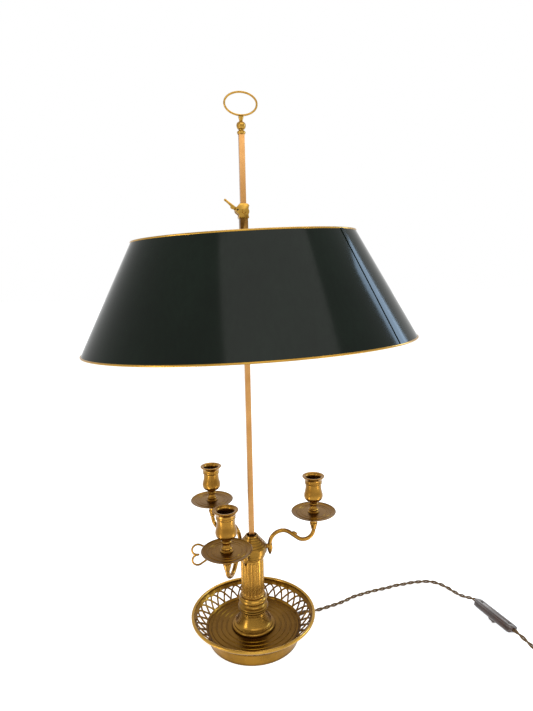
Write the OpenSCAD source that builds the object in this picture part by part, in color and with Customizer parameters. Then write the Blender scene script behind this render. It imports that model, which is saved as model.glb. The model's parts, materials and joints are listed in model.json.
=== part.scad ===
// Bouillotte table lamp: a square brass stem on a dished base with a pierced gallery,
// a sliding three-candle branch locked by a heart key, and a sliding oval metal shade.
// Origin: centre of the base on the table, +Z up the stem, +X towards the first candle arm.

/* [Stem] */
// Side of the square stem tube
stem_side = 8; // [7.5:0.5:9]
// Bore of the stem tube
stem_bore_d = 5; // [4.6:0.1:5.4]
// Height of the stem's top end
stem_top_z = 778; // [774:1:800]
// Height where the square part of the stem stands on the column foot
stem_shoulder_z = 25; // [24:0.5:28]
// Diameter of the threaded lower end
stem_thread_d = 7.4; // [7:0.1:7.6]
// Gap at each face between the stem and what slides on it
slide_gap = 0.15; // [0.1:0.05:0.3]

/* [Base dish] */
// Radius of the foot wall at the table
foot_low_r = 72.9; // [71:0.1:76]
// Spread of the foot wall from the table up to the gallery
foot_flare = 2.5; // [2.3:0.1:3.6]
// Height of the step in the foot wall
foot_step_z = 9; // [8:0.5:11]
// Height of the dish floor
floor_z = 18; // [17.5:0.5:22]
// Thickness of the dish metal
dish_t = 1.5; // [1.2:0.1:2]
// Height of the turned ridges on the floor
ridge_h = 0.7; // [0.4:0.1:1]
// Width of each turned ridge
ridge_w = 2.4; // [1.6:0.2:3]
// Distance between turned ridges
ridge_pitch = 8; // [7:0.5:9]
// Thickness of the felt under the base
felt_t = 1.5; // [1:0.1:2]
// Inner radius of the ballast ring
ballast_hole_r = 20; // [18:1:24]
// Width of the lead slot in the ballast
ballast_slot_w = 11; // [10:0.5:14]

/* [Gallery] */
// Rise of the gallery wall above the table edge of the floor
gallery_rise = 20.8; // [19:0.2:24]
// Spread of the gallery wall outwards
gallery_spread = 23.6; // [22:0.2:26]
// Thickness of the gallery sheet
gallery_t = 1.2; // [1:0.1:1.5]
// Number of bays round the gallery
bay_count = 36; // [30:1:40]
// Width of the strips left between the openings
strip_w = 2.2; // [1.8:0.1:2.6]
// Height of the plain band below the openings
gallery_low_band = 2.6; // [2:0.1:3.5]
// Height of the pierced zone
pierced_h = 20.5; // [18:0.5:21.5]
// Diameter of the beaded rim wire
gallery_rim_d = 5; // [4.5:0.1:6]

/* [Column] */
// Radius of the foot ring of the column
column_ring_r = 35.3; // [34:0.1:37]
// Height where the fluted shaft begins
shaft_low_z = 72; // [70:0.5:74]
// Height of the top of the column
column_top_z = 139; // [136:0.5:141]
// Radius of the fluted shaft
shaft_r = 18.4; // [17.5:0.1:19]
// Number of flutes
flute_count = 20; // [16:1:22]
// Radius of the flute cutter
flute_r = 2.3; // [1.8:0.1:2.6]
// Depth of the flutes
flute_depth = 1.6; // [1:0.1:2]
// Radius of the inner bore of the column
column_bore_r = 12; // [11:0.5:13.5]
// Height of the spigot that carries the column
spigot_h = 9; // [7:0.5:12]

/* [Candle branch] */
// Lower edge of the sliding branch collar
collar_low_z = 139.4; // [139.2:0.1:142]
// Radius of the collar band
collar_r = 23.8; // [23:0.1:25]
// Height of the axis of the key and of the arm spigots above the collar's lower edge
key_rise = 11; // [10.5:0.1:11.5]
// Overall height of the collar
collar_h = 33.6; // [32:0.2:36]
// Radius from the stem to the candles
arm_reach = 103; // [99:0.5:108]
// Diameter of the arm tube
arm_d = 5.6; // [5:0.1:6.2]
// Radius from the stem to the root leaf of the arm
root_reach = 29.5; // [29:0.1:30.5]
// Bend radius of the upper arm bow
bow_r = 20; // [18:0.5:21]
// Straight run between the two bows of the arm
bow_straight = 18.3; // [16:0.1:20]
// Height from the key axis up to the centre of the upper bow
bow_rise = 3.2; // [2:0.1:5]
// Height from the key axis up to the centre of the lower bow
swan_rise = 19.6; // [18:0.1:22]
// Height from the lower bow centre to the underside of the pan
trumpet_h = 27.6; // [25:0.2:32]
// Radius of the drip pan
pan_r = 36; // [33:0.5:39]
// Thickness of the pan metal
pan_t = 1.6; // [1.2:0.1:2]
// Height of the pan's upturned edge
pan_edge_h = 3.2; // [2.5:0.1:3.8]
// Radius of the pan's flat centre
pan_flat_r = 30; // [28:0.5:32]
// Height of the candle cup above the pan
cup_h = 61; // [57:0.5:66]
// Radius of the cup's lip
cup_lip_r = 17.8; // [17:0.1:19]
// Radius of the candle bore
candle_bore_r = 11.2; // [10.5:0.1:12]
// Depth of the candle bore
candle_bore_depth = 32; // [28:0.5:34]
// Radius of the stud that joins arm, pan and cup
stud_r = 3; // [2.6:0.1:3.4]

/* [Heart key] */
// Thickness of the key's bow
key_wire_d = 3.2; // [3:0.1:3.8]
// Radius of each heart lobe, on the wire's centre line
lobe_r = 8.6; // [7.5:0.1:9]
// Radius from the stem to the outermost wire centre
key_reach = 94.4; // [90:0.2:98]
// Length of the heart from lobe to tip
heart_len = 38.4; // [35:0.2:41]
// Half width of the heart on the wire's centre line
heart_half_w = 17; // [16:0.1:17.4]
// Radius of the key's screw
key_screw_r = 2.4; // [2:0.1:2.6]
// Thickness of the brake shoe between stem and screw
shoe_t = 4; // [3.6:0.1:5]
// Side of the square brake shoe
shoe_side = 6.4; // [5.6:0.1:7]
// Free play of the key's screw and the shoe
shoe_play = 0.08; // [0.04:0.01:0.1]

/* [Shade] */
// Half length of the shade's wall at the top
shade_top_a = 163; // [155:1:170]
// Half depth of the shade's wall at the top
shade_top_b = 120; // [114:1:126]
// Half length of the shade's wall at the bottom
shade_bottom_a = 248; // [240:1:254]
// Half depth of the shade's wall at the bottom
shade_bottom_b = 183; // [176:1:188]
// Height of the shade's wall
shade_h = 157; // [150:0.5:162]
// Thickness of the shade's sheet metal
shade_t = 0.9; // [0.8:0.1:1.2]
// Height of the carrier hub's centre
shade_hub_z = 630; // [626:1:634]
// Turn of the shade about the stem
shade_turn = -10; // [-14:1:-6]
// Tilt of the shade, its first end up
shade_cant = 2.2; // [0:0.1:3]
// Diameter of the rolled rims
shade_rim_d = 5; // [4.5:0.1:6]
// Place of the lap seam round the shade
seam_angle = 322; // [300:1:335]
// Width of the lap seam, in degrees round the shade
seam_width = 2.6; // [2:0.1:4]
// Width of the carrier's spokes
spoke_w = 7; // [6:0.5:8]
// Thickness of the carrier's spokes
spoke_t = 3; // [2.5:0.1:3.5]
// Radius of the carrier's hub
bridge_hub_r = 13; // [12:0.5:15]

/* [Sliding latch] */
// Outer side of the square sleeve
sleeve_side = 11.6; // [11.2:0.1:12.4]
// Height of the sleeve's top end
sleeve_top_z = 682; // [680:0.5:684]
// Height of the latch pin
latch_pin_z = 673; // [672:0.5:674]
// Distance from the stem to the latch pin
latch_pin_x = 9.2; // [9:0.1:9.6]
// Radius of the latch pin
latch_pin_r = 1.2; // [1.1:0.1:1.4]
// Free play of the lever on its pin
pin_play = 0.05; // [0.03:0.01:0.08]
// Width of the lever
lever_w = 5; // [4.6:0.1:5.2]
// Length of the lever from its pin to the ball
lever_len = 22; // [20:0.5:25]
// Slope of the lever
lever_slope = 40; // [36:1:44]
// Thickness of the lever at its ball
lever_tip_t = 2.6; // [2.2:0.1:3]
// Width of the latch casting
clasp_w = 13.4; // [13.2:0.1:14.5]

/* [Handle] */
// Overall width of the ring handle
handle_w = 51.5; // [48:0.5:56]
// Overall height of the ring handle
handle_h = 36.1; // [34:0.1:39]
// Diameter of the handle's wire
handle_wire_d = 5; // [4.5:0.1:5.6]
// Height of the knop below the handle
knop_h = 18; // [16:0.5:20]
// Largest radius of the knop
knop_r = 6.8; // [6.4:0.1:7.6]

/* [Lamp cluster] */
// Height of the lamp holders' axis
cluster_z = 540; // [534:1:541]
// Radius of the cluster body
cluster_r = 16; // [15:0.5:18]
// Height of the cluster body
cluster_h = 32; // [30:1:33]
// Wall of the cluster body
cluster_t = 2; // [1.6:0.1:2.4]
// Diameter of the short side tubes
side_tube_d = 10; // [9:0.5:11]
// Length of the lamp holders
holder_len = 44; // [40:1:50]
// Radius of the lamp holders
holder_r = 12.5; // [12:0.1:13.5]
// Radius of the candle bulbs
bulb_r = 17; // [16:0.1:17.5]
// Length of the glass of the bulbs
bulb_len = 76; // [70:1:80]

/* [Cord] */
// Direction in which the cord leaves the base
cord_azimuth = 15; // [13:1:17]
// Height at which the cord leaves the base
cord_exit_z = 7.5; // [7:0.1:8]
// Diameter of the cord
cord_d = 6; // [5.8:0.1:6.2]
// Diameter of the lead inside the stem
lead_d = 3.2; // [3:0.1:3.4]
// Length of the strain relief
relief_len = 18; // [16:1:20]
// Turns of the coil
coil_turns = 6.5;
// Radius of the coil's outermost turn
coil_r = 40; // [39:0.5:42]
// Distance between neighbouring turns
coil_pitch = 6.5; // [6.5:0.1:7]

/* [Inline switch] */
// Length of the switch
switch_len = 84; // [78:1:90]
// Width of the switch
switch_w = 16; // [15.5:0.5:19]
// Thickness of the switch
switch_t = 12; // [11.5:0.5:13]
// Thickness of its base plate
switch_base_t = 3; // [2.5:0.1:4]
// Radius of the rocker about its pivot
rocker_r = 9; // [8.5:0.1:9.5]
// Width of the rocker
rocker_w = 8; // [7:0.2:9]
// Height of the rocker's pivot above the base plate's face
rocker_pivot = 8; // [7.5:0.1:8.5]
// Gap round the rocker
rocker_gap = 0.35; // [0.3:0.05:0.5]
// Half of the rocker's swing
rocker_swing = 8;

/* [Plug] */
// Length of the plug's body
plug_len = 35; // [33:1:38]
// Width of the plug's face
plug_w = 35; // [33:0.5:36]
// Thickness of the plug
plug_t = 13.8; // [13:0.1:15]
// Diameter of the plug's pins
plug_pin_d = 4; // [4:0.1:4.8]
// Length of the plug's pins
plug_pin_len = 19; // [18:0.5:20]
// Distance between the plug's pins
plug_pin_span = 18.6; // [18:0.1:19.2]

/* [Hidden] */

$fn = 64;
brass = "#9a7434";
old_brass = "#8a6326";
bright_brass = "#c99a3f";
shade_green = "#25302b";
dark_brown = "#2f1c12";
cord_brown = "#6b4a24";
iron = "#4a4a4c";

// Stem and base
half_stem = stem_side / 2;
slide_side = stem_side + 2 * slide_gap;
thread_r = stem_thread_d / 2;
stem_low_z = 9.5;
washer_t = 1.6;
nut_h = 5;
nut_r = 8.5;
washer_r = 12;
floor_low_z = floor_z - dish_t;
foot_high_r = foot_low_r + foot_flare;
ballast_r = foot_low_r - dish_t - 3;
gland_in = foot_low_r - dish_t - 2.5;
splice_len = 12;
splice_out = gland_in - 3.9;
splice_in = splice_out - splice_len;
gland_neck_r = cord_d / 2 + 1.2;
gland_flange_r = cord_d / 2 + 2.6;

// Gallery: its outer line runs from the foot of the wall to the rim
gallery_low_r = foot_high_r - 0.4;
gallery_slope = atan2(gallery_rise, gallery_spread);
wall_run = gallery_t / sin(gallery_slope);
gallery_top_r = gallery_low_r + gallery_spread;
gallery_top_z = floor_z + gallery_rise;
rim_r = gallery_top_r - 1.15;
rim_z = gallery_top_z + 1.7;
bay = 360 / bay_count;
arch_power = 1.6;
pierce_steps = 5;
cutter_reach = 2;
slot_run = 2.4;

// Column
spigot_r = column_bore_r - 0.02;
cap_h = 3;
cap_r = shaft_r + 1.1;
foot_bore_r = 7;

// Branch: heights above the table
key_z = collar_low_z + key_rise;
collar_top_z = collar_low_z + collar_h;
recess_r = 7.6;
recess_h = 5;
spigot_len = 4.5;
spigot_pin_r = 2.2;
bow_z = key_z + bow_rise;
bow_s = root_reach + bow_r;
swan_z = key_z + swan_rise;
bow_drop = swan_z - bow_z;
arm_run = arm_reach - root_reach;
swan_r = (arm_run * arm_run + bow_drop * bow_drop - bow_straight * bow_straight) / (2 * arm_run) - bow_r;
swan_s = arm_reach - swan_r;
bow_gap = norm([swan_s - bow_s, bow_drop]);
bow_line = atan2(bow_drop, swan_s - bow_s);
bow_tangent = bow_line + acos((bow_r + swan_r) / bow_gap);
pan_low_z = swan_z + trumpet_h;
pan_top_z = pan_low_z + pan_t;
cup_low_z = pan_top_z;
cup_top_z = cup_low_z + cup_h;
stud_top_z = cup_low_z + 9;

// Heart key: lobe centres and the tangent from the tip to the lobe
lobe_s = key_reach - lobe_r;
lobe_w = heart_half_w - lobe_r;
tip_s = key_reach - heart_len;
tip_gap = norm([lobe_s - tip_s, lobe_w]);
side_angle = atan2(lobe_w, lobe_s - tip_s) + asin(lobe_r / tip_gap);
notch_out = 6.8;
wedge_in = 3.2;
key_steps = 14;
key_sides = 10;
shoe_face = half_stem + 0.05;
screw_in = shoe_face + shoe_t;
shoe_room = 2;

// Shade and latch
sleeve_low_z = shade_hub_z - 12;
sleeve_square_z = shade_hub_z - 2;
sleeve_round_r = 7;
bridge_low_z = sleeve_square_z - 4;
carrier_nut_h = 5;
clasp_low_z = latch_pin_z - 12;
shade_high = 5;
shade_low = shade_high - shade_h;
rim_sides = 8;
shade_sides = 96;
lap_run = 0.2;
half_clasp = clasp_w / 2;
half_lever = lever_w / 2;
lever_slot = half_lever + 0.15;
lever_boss_r = 3;
spring_r = 2.3;
spring_w = 1.4;
lever_back = half_lever - spring_w - 0.1;

// Handle
handle_a = handle_w / 2 - handle_wire_d / 2;
handle_b = handle_h / 2 - handle_wire_d / 2;
handle_low_z = stem_top_z + knop_h + 5.3;
handle_z = handle_low_z + handle_h / 2;
handle_flat = 0.4;

// Lamp cluster
cluster_low_z = cluster_z - cluster_h / 2;
cluster_top_z = cluster_z + cluster_h / 2;
cluster_cap_h = 5;
holder_x = cluster_r + 10;
bulb_x = holder_x + holder_len;

// Cord: its way over the table from the base to the switch, then to the coil
wall_out = foot_low_r + 0.5;
relief_start = wall_out + 1.6;
power_route = [
    [60, 16, 7.5], [73.5, 19.7, 7.5], [91, 24.4, 7.5], [103, 27.4, 5.6], [114, 29.4, 3.6],
    [128, 32.5, 3], [142, 35.6, 3], [160, 39.7, 3], [176, 45, 3], [193, 52, 3], [209, 55.4, 3],
    [228, 59, 3], [246, 61.3, 3], [265, 63, 3], [281, 66, 3], [299, 66.4, 3], [315, 67.4, 3],
    [333, 66, 3], [349, 62.5, 3], [361.6, 53, 3], [370, 39, 3], [375.5, 23, 3], [380, 8, 4.2],
    [383.6, -5, 8], [386.5, -15, 11.8], [388.2, -23, 13.5], [389.3, -31, 13.7]
];
tail_route = [
    [399.2, -105.6, 13.7], [400.9, -114, 13.6], [404.2, -124, 11], [408, -134, 7.2], [411.6, -145, 4.2],
    [414.6, -156, 3.1], [416.4, -168, 3], [417, -180, 3], [417, -192, 3]
];
coil_centre = [457, -198];
coil_layer_h = 6.5;
coil_end = [[497, -190, 9.5], [497, -182, 9], [497, -172, 7.9], [497, -164, 7.1], [497, -154, 6.9]];
power_length = path_length(smooth_path(power_route, 3));
tail_length = path_length(smooth_path(tail_route, 4));
coil_length = path_length(coil_path());

// Inline switch: where its base plate lies, which faces up
switch_at = [395.6, -68.4, 18.1];
switch_heading = -82.4;
switch_tilt = 73;
cord_seat = 4.6;

// Plug
plug_at = [497, -158, plug_t / 2];

// ---------- points and curves ----------

function arc_points(cx, cy, r, a0, a1, n) =
    [for (i = [0:n]) let (a = a0 + (a1 - a0) * i / n) [cx + r * cos(a), cy + r * sin(a)]];

function curve_point(a, b, c, d, t) =
    0.5 * (2 * b + (c - a) * t + (2 * a - 5 * b + 4 * c - d) * t * t
        + (3 * b - a - 3 * c + d) * t * t * t);

function smooth_path(p, n) = let (m = len(p) - 1) [
    for (i = [0:m - 1])
        for (j = [0:n - 1])
            curve_point(p[max(i - 1, 0)], p[i], p[i + 1], p[min(i + 2, m)], j / n),
    p[m]
];

function path_length(p) = path_sum(p, len(p) - 1);
function path_sum(p, i) = i < 1 ? 0 : norm(p[i] - p[i - 1]) + path_sum(p, i - 1);

function unit(v) = v / norm(v);

function heading(p, i) =
    i == 0 ? unit(p[1] - p[0])
    : i == len(p) - 1 ? unit(p[i] - p[i - 1])
    : unit(unit(p[i + 1] - p[i]) + unit(p[i] - p[i - 1]));

// Tube of diameter d along the points p; across is a direction that p never runs in
module path_tube(p, d, sides, across) {
    rings = [
        for (i = [0:len(p) - 1])
            let (t = heading(p, i), u = unit(cross(across, t)), w = cross(t, u))
                for (k = [0:sides - 1])
                    let (a = 360 * (k + 0.5) / sides)
                        p[i] + (u * cos(a) + w * sin(a)) * d / 2
    ];
    n = len(p);
    walls = [
        for (i = [0:n - 2])
            for (k = [0:sides - 1])
                let (a = i * sides + k, b = i * sides + (k + 1) % sides)
                    each [[a, b, b + sides], [a, b + sides, a + sides]]
    ];
    caps = concat(
        [for (k = [1:sides - 2]) [0, k + 1, k]],
        [for (k = [1:sides - 2]) [(n - 1) * sides, (n - 1) * sides + k, (n - 1) * sides + k + 1]]
    );
    polyhedron(points = rings, faces = [for (f = concat(walls, caps)) [f[2], f[1], f[0]]]);
}

module turned(profile) {
    rotate_extrude($fn = 96) polygon(profile);
}

module square_hole(side, low, high) {
    translate([-side / 2, -side / 2, low]) cube([side, side, high - low]);
}

// A piece laid along +X from the stem, at height z
module along_x(z) {
    translate([0, 0, z]) rotate([0, 90, 0]) children();
}

// ---------- base ----------

module base_dish() {
    ridges = [
        for (r = [foot_high_r - 6 : -ridge_pitch : column_ring_r + 4])
            each [[r, floor_z], [r - ridge_w / 4, floor_z + ridge_h],
                [r - ridge_w * 3 / 4, floor_z + ridge_h], [r - ridge_w, floor_z]]
    ];
    color(brass) difference() {
        turned(concat(
            [[foot_low_r - dish_t, 0], [foot_low_r, 0], [foot_low_r + 0.5, foot_step_z - 0.6],
                [foot_low_r + 1.2, foot_step_z], [foot_high_r - 0.3, floor_z - 1.6],
                [foot_high_r, floor_z - 1.2], [foot_high_r, floor_z]],
            ridges,
            [[thread_r + 0.1, floor_z], [thread_r + 0.1, floor_low_z],
                [foot_low_r - dish_t, floor_low_z]]
        ));
        rotate([0, 0, cord_azimuth]) along_x(cord_exit_z) {
            translate([0, 0, foot_low_r - 6]) cylinder(r = gland_neck_r + 0.02, h = 12);
            translate([0, 0, wall_out]) cylinder(r = gland_flange_r + 0.2, h = 6);
        }
    }
}

// Pierced work. In bay units the crossing arches follow 1 - |x|^arch_power, drawn as strips of even width
function arch(x) = pierced_h * (1 - pow(abs(x), arch_power));
function bay_len(y) = (gallery_low_r + (gallery_low_band + y) * cos(gallery_slope)) * tan(bay);
function half_strip(x) =
    let (slope = pierced_h * arch_power * pow(abs(x), arch_power - 1) / bay_len(pierced_h / 2))
        strip_w / 2 * sqrt(1 + slope * slope);
function on_wall(p) = [p[0] * bay_len(p[1]), p[1] + gallery_low_band];

// Tall pointed opening under two crossing arches
function lancet_side(x) = max(arch(1 - x) - half_strip(1 - x), 0);
function lancet() = let (edge = half_strip(1) / (pierced_h * arch_power), n = pierce_steps) concat(
    [for (i = [0:n]) let (x = edge + (0.5 - edge) * i / n) [x - 0.5, lancet_side(x)]],
    [for (i = [n - 1:-1:0]) let (x = edge + (0.5 - edge) * i / n) [0.5 - x, lancet_side(x)]]
);

// Leaf between the crossings, over the foot of each arch
function leaf_low(x) = arch(1 - abs(x)) + half_strip(1 - abs(x));
function leaf_high(x) = arch(x) - half_strip(x);
function leaf_tip(low, high, n) =
    n == 0 ? low
    : let (m = (low + high) / 2)
        leaf_high(m) > leaf_low(m) ? leaf_tip(m, high, n - 1) : leaf_tip(low, m, n - 1);
function leaf() = let (tip = leaf_tip(0, 0.5, 16), n = pierce_steps - 1) concat(
    [for (i = [-n:n]) [tip * i / n, leaf_low(tip * i / n)]],
    [for (i = [n - 1:-1:1 - n]) [tip * i / n, leaf_high(tip * i / n)]]
);

// Small opening above each crossing, under the plain band
function spandrel_low(x) = arch(0.5 - abs(x)) + half_strip(0.5 - abs(x));
function spandrel_edge(low, high, n) =
    n == 0 ? low
    : let (m = (low + high) / 2)
        spandrel_low(m) < pierced_h ? spandrel_edge(m, high, n - 1) : spandrel_edge(low, m, n - 1);
function spandrel() = let (edge = spandrel_edge(0, 0.45, 16), n = pierce_steps - 2)
    [for (i = [-n:n]) [edge * i / n, spandrel_low(edge * i / n)]];

module wall_cutter(at, outline) {
    rotate([0, 0, at])
        translate([gallery_low_r, 0, floor_z])
            rotate([0, -gallery_slope, 0])
                rotate([0, 0, -90])
                    translate([0, 0, -cutter_reach])
                        linear_extrude(gallery_t + 2 * cutter_reach)
                            polygon([for (q = outline) on_wall(q)]);
}

module pierced_gallery() {
    color(brass) difference() {
        turned([
            [gallery_low_r - wall_run, floor_z], [gallery_low_r, floor_z],
            [gallery_top_r, gallery_top_z],
            [gallery_top_r - gallery_t * sin(gallery_slope), gallery_top_z + gallery_t * cos(gallery_slope)]
        ]);
        for (i = [0:bay_count - 1]) {
            wall_cutter(bay * (i + 0.5), lancet());
            wall_cutter(bay * i, leaf());
            wall_cutter(bay * (i + 0.5), spandrel());
        }
    }
}

// Beaded wire, slotted to take the edge of the gallery sheet
module gallery_rim() {
    color(bright_brass) difference() {
        turned(arc_points(rim_r, rim_z, gallery_rim_d / 2, 0, 345, 23));
        turned([
            [gallery_top_r - slot_run, gallery_top_z - slot_run * tan(gallery_slope)],
            [gallery_top_r, gallery_top_z],
            [gallery_top_r - gallery_t * sin(gallery_slope), gallery_top_z + gallery_t * cos(gallery_slope)],
            [gallery_top_r - slot_run - gallery_t * sin(gallery_slope),
                gallery_top_z - slot_run * tan(gallery_slope) + gallery_t * cos(gallery_slope)]
        ]);
    }
}

module base_ballast() {
    color(iron) difference() {
        translate([0, 0, felt_t]) cylinder(r = ballast_r, h = floor_low_z - felt_t, $fn = 96);
        translate([0, 0, felt_t - 1]) cylinder(r = ballast_hole_r, h = floor_z);
        rotate([0, 0, cord_azimuth])
            translate([0, -ballast_slot_w / 2, felt_t - 1]) cube([foot_high_r, ballast_slot_w, floor_z]);
    }
}

module base_felt() {
    color("#3d4a35") cylinder(r = foot_low_r - dish_t, h = felt_t, $fn = 96);
}

module stem_washer() {
    color(iron) difference() {
        translate([0, 0, floor_low_z - washer_t]) cylinder(r = washer_r, h = washer_t);
        translate([0, 0, floor_low_z - washer_t - 1]) cylinder(r = thread_r + 0.2, h = washer_t + 2);
    }
}

module stem_nut() {
    low = floor_low_z - washer_t - nut_h;
    color(iron) difference() {
        translate([0, 0, low]) cylinder(r = nut_r, h = nut_h, $fn = 6);
        translate([0, 0, low - 1]) cylinder(r = thread_r, h = nut_h + 2);
    }
}

// ---------- column and stem ----------

// Turned foot: ring, bell, two fillets and a torus under the shaft
module column_foot() {
    bell = arc_points(38.5, 45.6, 19.6, 239, 184, 7);
    color(brass) turned(concat(
        [[thread_r + 0.1, floor_z], [column_ring_r - 1.6, floor_z]],
        arc_points(column_ring_r - 1.8, floor_z + 2.6, 1.8, -70, 90, 5),
        [[31.6, floor_z + 4.6], [31.4, floor_z + 6.2], [30.2, floor_z + 6.8]],
        bell,
        [[20.2, 47.2], [22.8, 47.8]],
        arc_points(22.6, 49.6, 1.5, -60, 60, 4),
        [[21.6, 51.4], [21.6, 51.9]],
        arc_points(22.6, 53.7, 1.5, -60, 60, 4),
        [[20.4, 56], [18.2, 59.6], [18.4, 61.4], [20.6, 62.2]],
        arc_points(19.6, 65.9, 3.5, -55, 62, 6),
        [[20.4, 70], [20.4, shaft_low_z], [spigot_r, shaft_low_z], [spigot_r, shaft_low_z + spigot_h],
            [foot_bore_r, shaft_low_z + spigot_h], [foot_bore_r, stem_shoulder_z],
            [thread_r + 0.1, stem_shoulder_z]]
    ));
}

// Cutter for one flute, with tapered round ends
module flute_cutter(low, high) {
    translate([shaft_r - flute_depth + flute_r, 0, 0])
        rotate_extrude($fn = 24)
            polygon(concat(
                [[0, low]], arc_points(0, low + flute_r, flute_r, -60, 0, 3),
                arc_points(0, high - flute_r, flute_r, 0, 60, 3), [[0, high]]
            ));
}

module fluted_column() {
    cap_low = column_top_z - cap_h;
    color(brass) difference() {
        turned(concat(
            [[column_bore_r, shaft_low_z], [shaft_r + 0.7, shaft_low_z], [shaft_r + 0.7, shaft_low_z + 1.2],
                [shaft_r, shaft_low_z + 1.8], [shaft_r, cap_low - 0.8]],
            arc_points(cap_r - 1, column_top_z - 1.6, 1.3, -80, 80, 5),
            [[slide_side * 0.8, column_top_z], [slide_side * 0.8, cap_low - 2], [column_bore_r, cap_low - 2]]
        ));
        for (i = [0:flute_count - 1])
            rotate([0, 0, 360 / flute_count * i])
                flute_cutter(shaft_low_z + 3, cap_low - 2.6);
    }
}

// Square tube with a round threaded lower end
module square_stem() {
    color(old_brass) difference() {
        union() {
            translate([-half_stem, -half_stem, stem_shoulder_z])
                cube([stem_side, stem_side, stem_top_z - stem_shoulder_z]);
            translate([0, 0, stem_low_z])
                cylinder(r = thread_r, h = stem_shoulder_z - stem_low_z + 1);
        }
        translate([0, 0, stem_low_z - 1]) cylinder(d = stem_bore_d, h = stem_top_z);
        translate([0, 0, cluster_z]) rotate([-90, 0, 0]) cylinder(d = stem_bore_d - 0.6, h = stem_side);
    }
}

// Foliate knop with a neck that carries the ring handle
module stem_knop() {
    z = stem_top_z;
    color(bright_brass) turned(concat(
        [[0, z - 12], [stem_bore_d / 2, z - 12], [stem_bore_d / 2, z], [5.2, z]],
        arc_points(4.6, z + 2.3, 1.6, -60, 60, 4),
        [[3.4, z + 5.2], [3.6, z + 6.2], [4.8, z + 6.8]],
        arc_points(knop_r - 5, z + 11.6, 5, -40, 55, 6),
        [[3.4, z + knop_h - 1], [2.6, z + knop_h], [4, handle_low_z + handle_flat], [0, handle_low_z + handle_flat]]
    ));
}

// Oval ring of round wire, filed flat where it stands on the knop's neck
module ring_handle() {
    color(bright_brass) difference() {
        translate([0, 0, handle_z]) rotate([90, 0, 0])
            oval_tube(handle_a, handle_b, 0, handle_wire_d, 48, 10);
        translate([-8, -8, handle_low_z - 4]) cube([16, 16, 4 + handle_flat]);
    }
}

// ---------- lamp cluster on the stem, inside the shade ----------

module cluster_body() {
    color(old_brass) difference() {
        union() {
            turned([
                [0, cluster_low_z], [cluster_r - 6, cluster_low_z], [cluster_r - 1, cluster_low_z + 4],
                [cluster_r, cluster_low_z + 7], [cluster_r, cluster_top_z - cluster_cap_h],
                [0, cluster_top_z - cluster_cap_h]
            ]);
        }
        turned([
            [0, cluster_low_z + 5], [cluster_r - 6, cluster_low_z + 5],
            [cluster_r - cluster_t, cluster_low_z + 8], [cluster_r - cluster_t, cluster_top_z],
            [0, cluster_top_z]
        ]);
        square_hole(stem_side, cluster_low_z - 1, cluster_top_z);
        along_x(cluster_z) translate([0, 0, -cluster_r - 4]) cylinder(d = side_tube_d, h = 2 * cluster_r + 8);
        translate([0, 0, cluster_low_z + 2.5]) rotate([-90, 0, 0]) cylinder(r = 1.5, h = cluster_r);
    }
}

module cluster_cap() {
    low = cluster_top_z - cluster_cap_h;
    color(old_brass) difference() {
        turned([
            [0, low - 2], [cluster_r - cluster_t - 0.02, low - 2], [cluster_r - cluster_t - 0.02, low],
            [cluster_r + 0.6, low], [cluster_r + 0.6, low + 1.2], [cluster_r - 5, cluster_top_z],
            [0, cluster_top_z]
        ]);
        square_hole(stem_side, low - 3, cluster_top_z + 1);
    }
}

// Grub screw through the bottom wall of the body, against the stem's back face
module cluster_screw() {
    color(iron) translate([0, half_stem, cluster_low_z + 2.5]) rotate([-90, 0, 0]) difference() {
        cylinder(r = 1.5, h = 5);
        translate([-0.3, -2, 4.2]) cube([0.6, 4, 2]);
    }
}

module side_tubes() {
    color(old_brass) for (side = [0, 180]) rotate([0, 0, side]) along_x(cluster_z) difference() {
        translate([0, 0, cluster_r - cluster_t - 2]) cylinder(d = side_tube_d, h = 14 + cluster_t);
        translate([0, 0, cluster_r - 10]) cylinder(d = side_tube_d - 2.4, h = 40);
    }
}

module lamp_holder() {
    along_x(cluster_z) difference() {
        union() {
            translate([0, 0, holder_x]) cylinder(r1 = holder_r - 4, r2 = holder_r, h = 8);
            translate([0, 0, holder_x + 8]) cylinder(r = holder_r, h = holder_len - 8);
            translate([0, 0, holder_x + holder_len - 14]) cylinder(r = holder_r + 1.4, h = 3);
        }
        translate([0, 0, holder_x - 1]) cylinder(d = side_tube_d, h = 5);
        translate([0, 0, holder_x + 14]) cylinder(r = 7.1, h = holder_len);
        translate([0, 0, holder_x + holder_len - 8]) cylinder(r = holder_r - 1.6, h = 20);
    }
}

module lamp_holder_right() {
    color(dark_brown) lamp_holder();
}

module lamp_holder_left() {
    color(dark_brown) rotate([0, 0, 180]) lamp_holder();
}

// Candle bulb with its screw cap in the holder
module lamp_bulb() {
    low = bulb_x - 28;
    along_x(cluster_z) turned(concat(
        [[0, low], [3, low], [4, low + 2], [7, low + 4], [7, low + 26], [9.5, low + 30]],
        arc_points(bulb_r - 30, low + 57, 30, -24, 42, 8),
        [[4.2, bulb_x + bulb_len - 8], [1.6, bulb_x + bulb_len - 1], [0, bulb_x + bulb_len]]
    ));
}

module lamp_bulb_right() {
    color("#f2ead2") lamp_bulb();
}

module lamp_bulb_left() {
    color("#f2ead2") rotate([0, 0, 180]) lamp_bulb();
}

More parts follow.
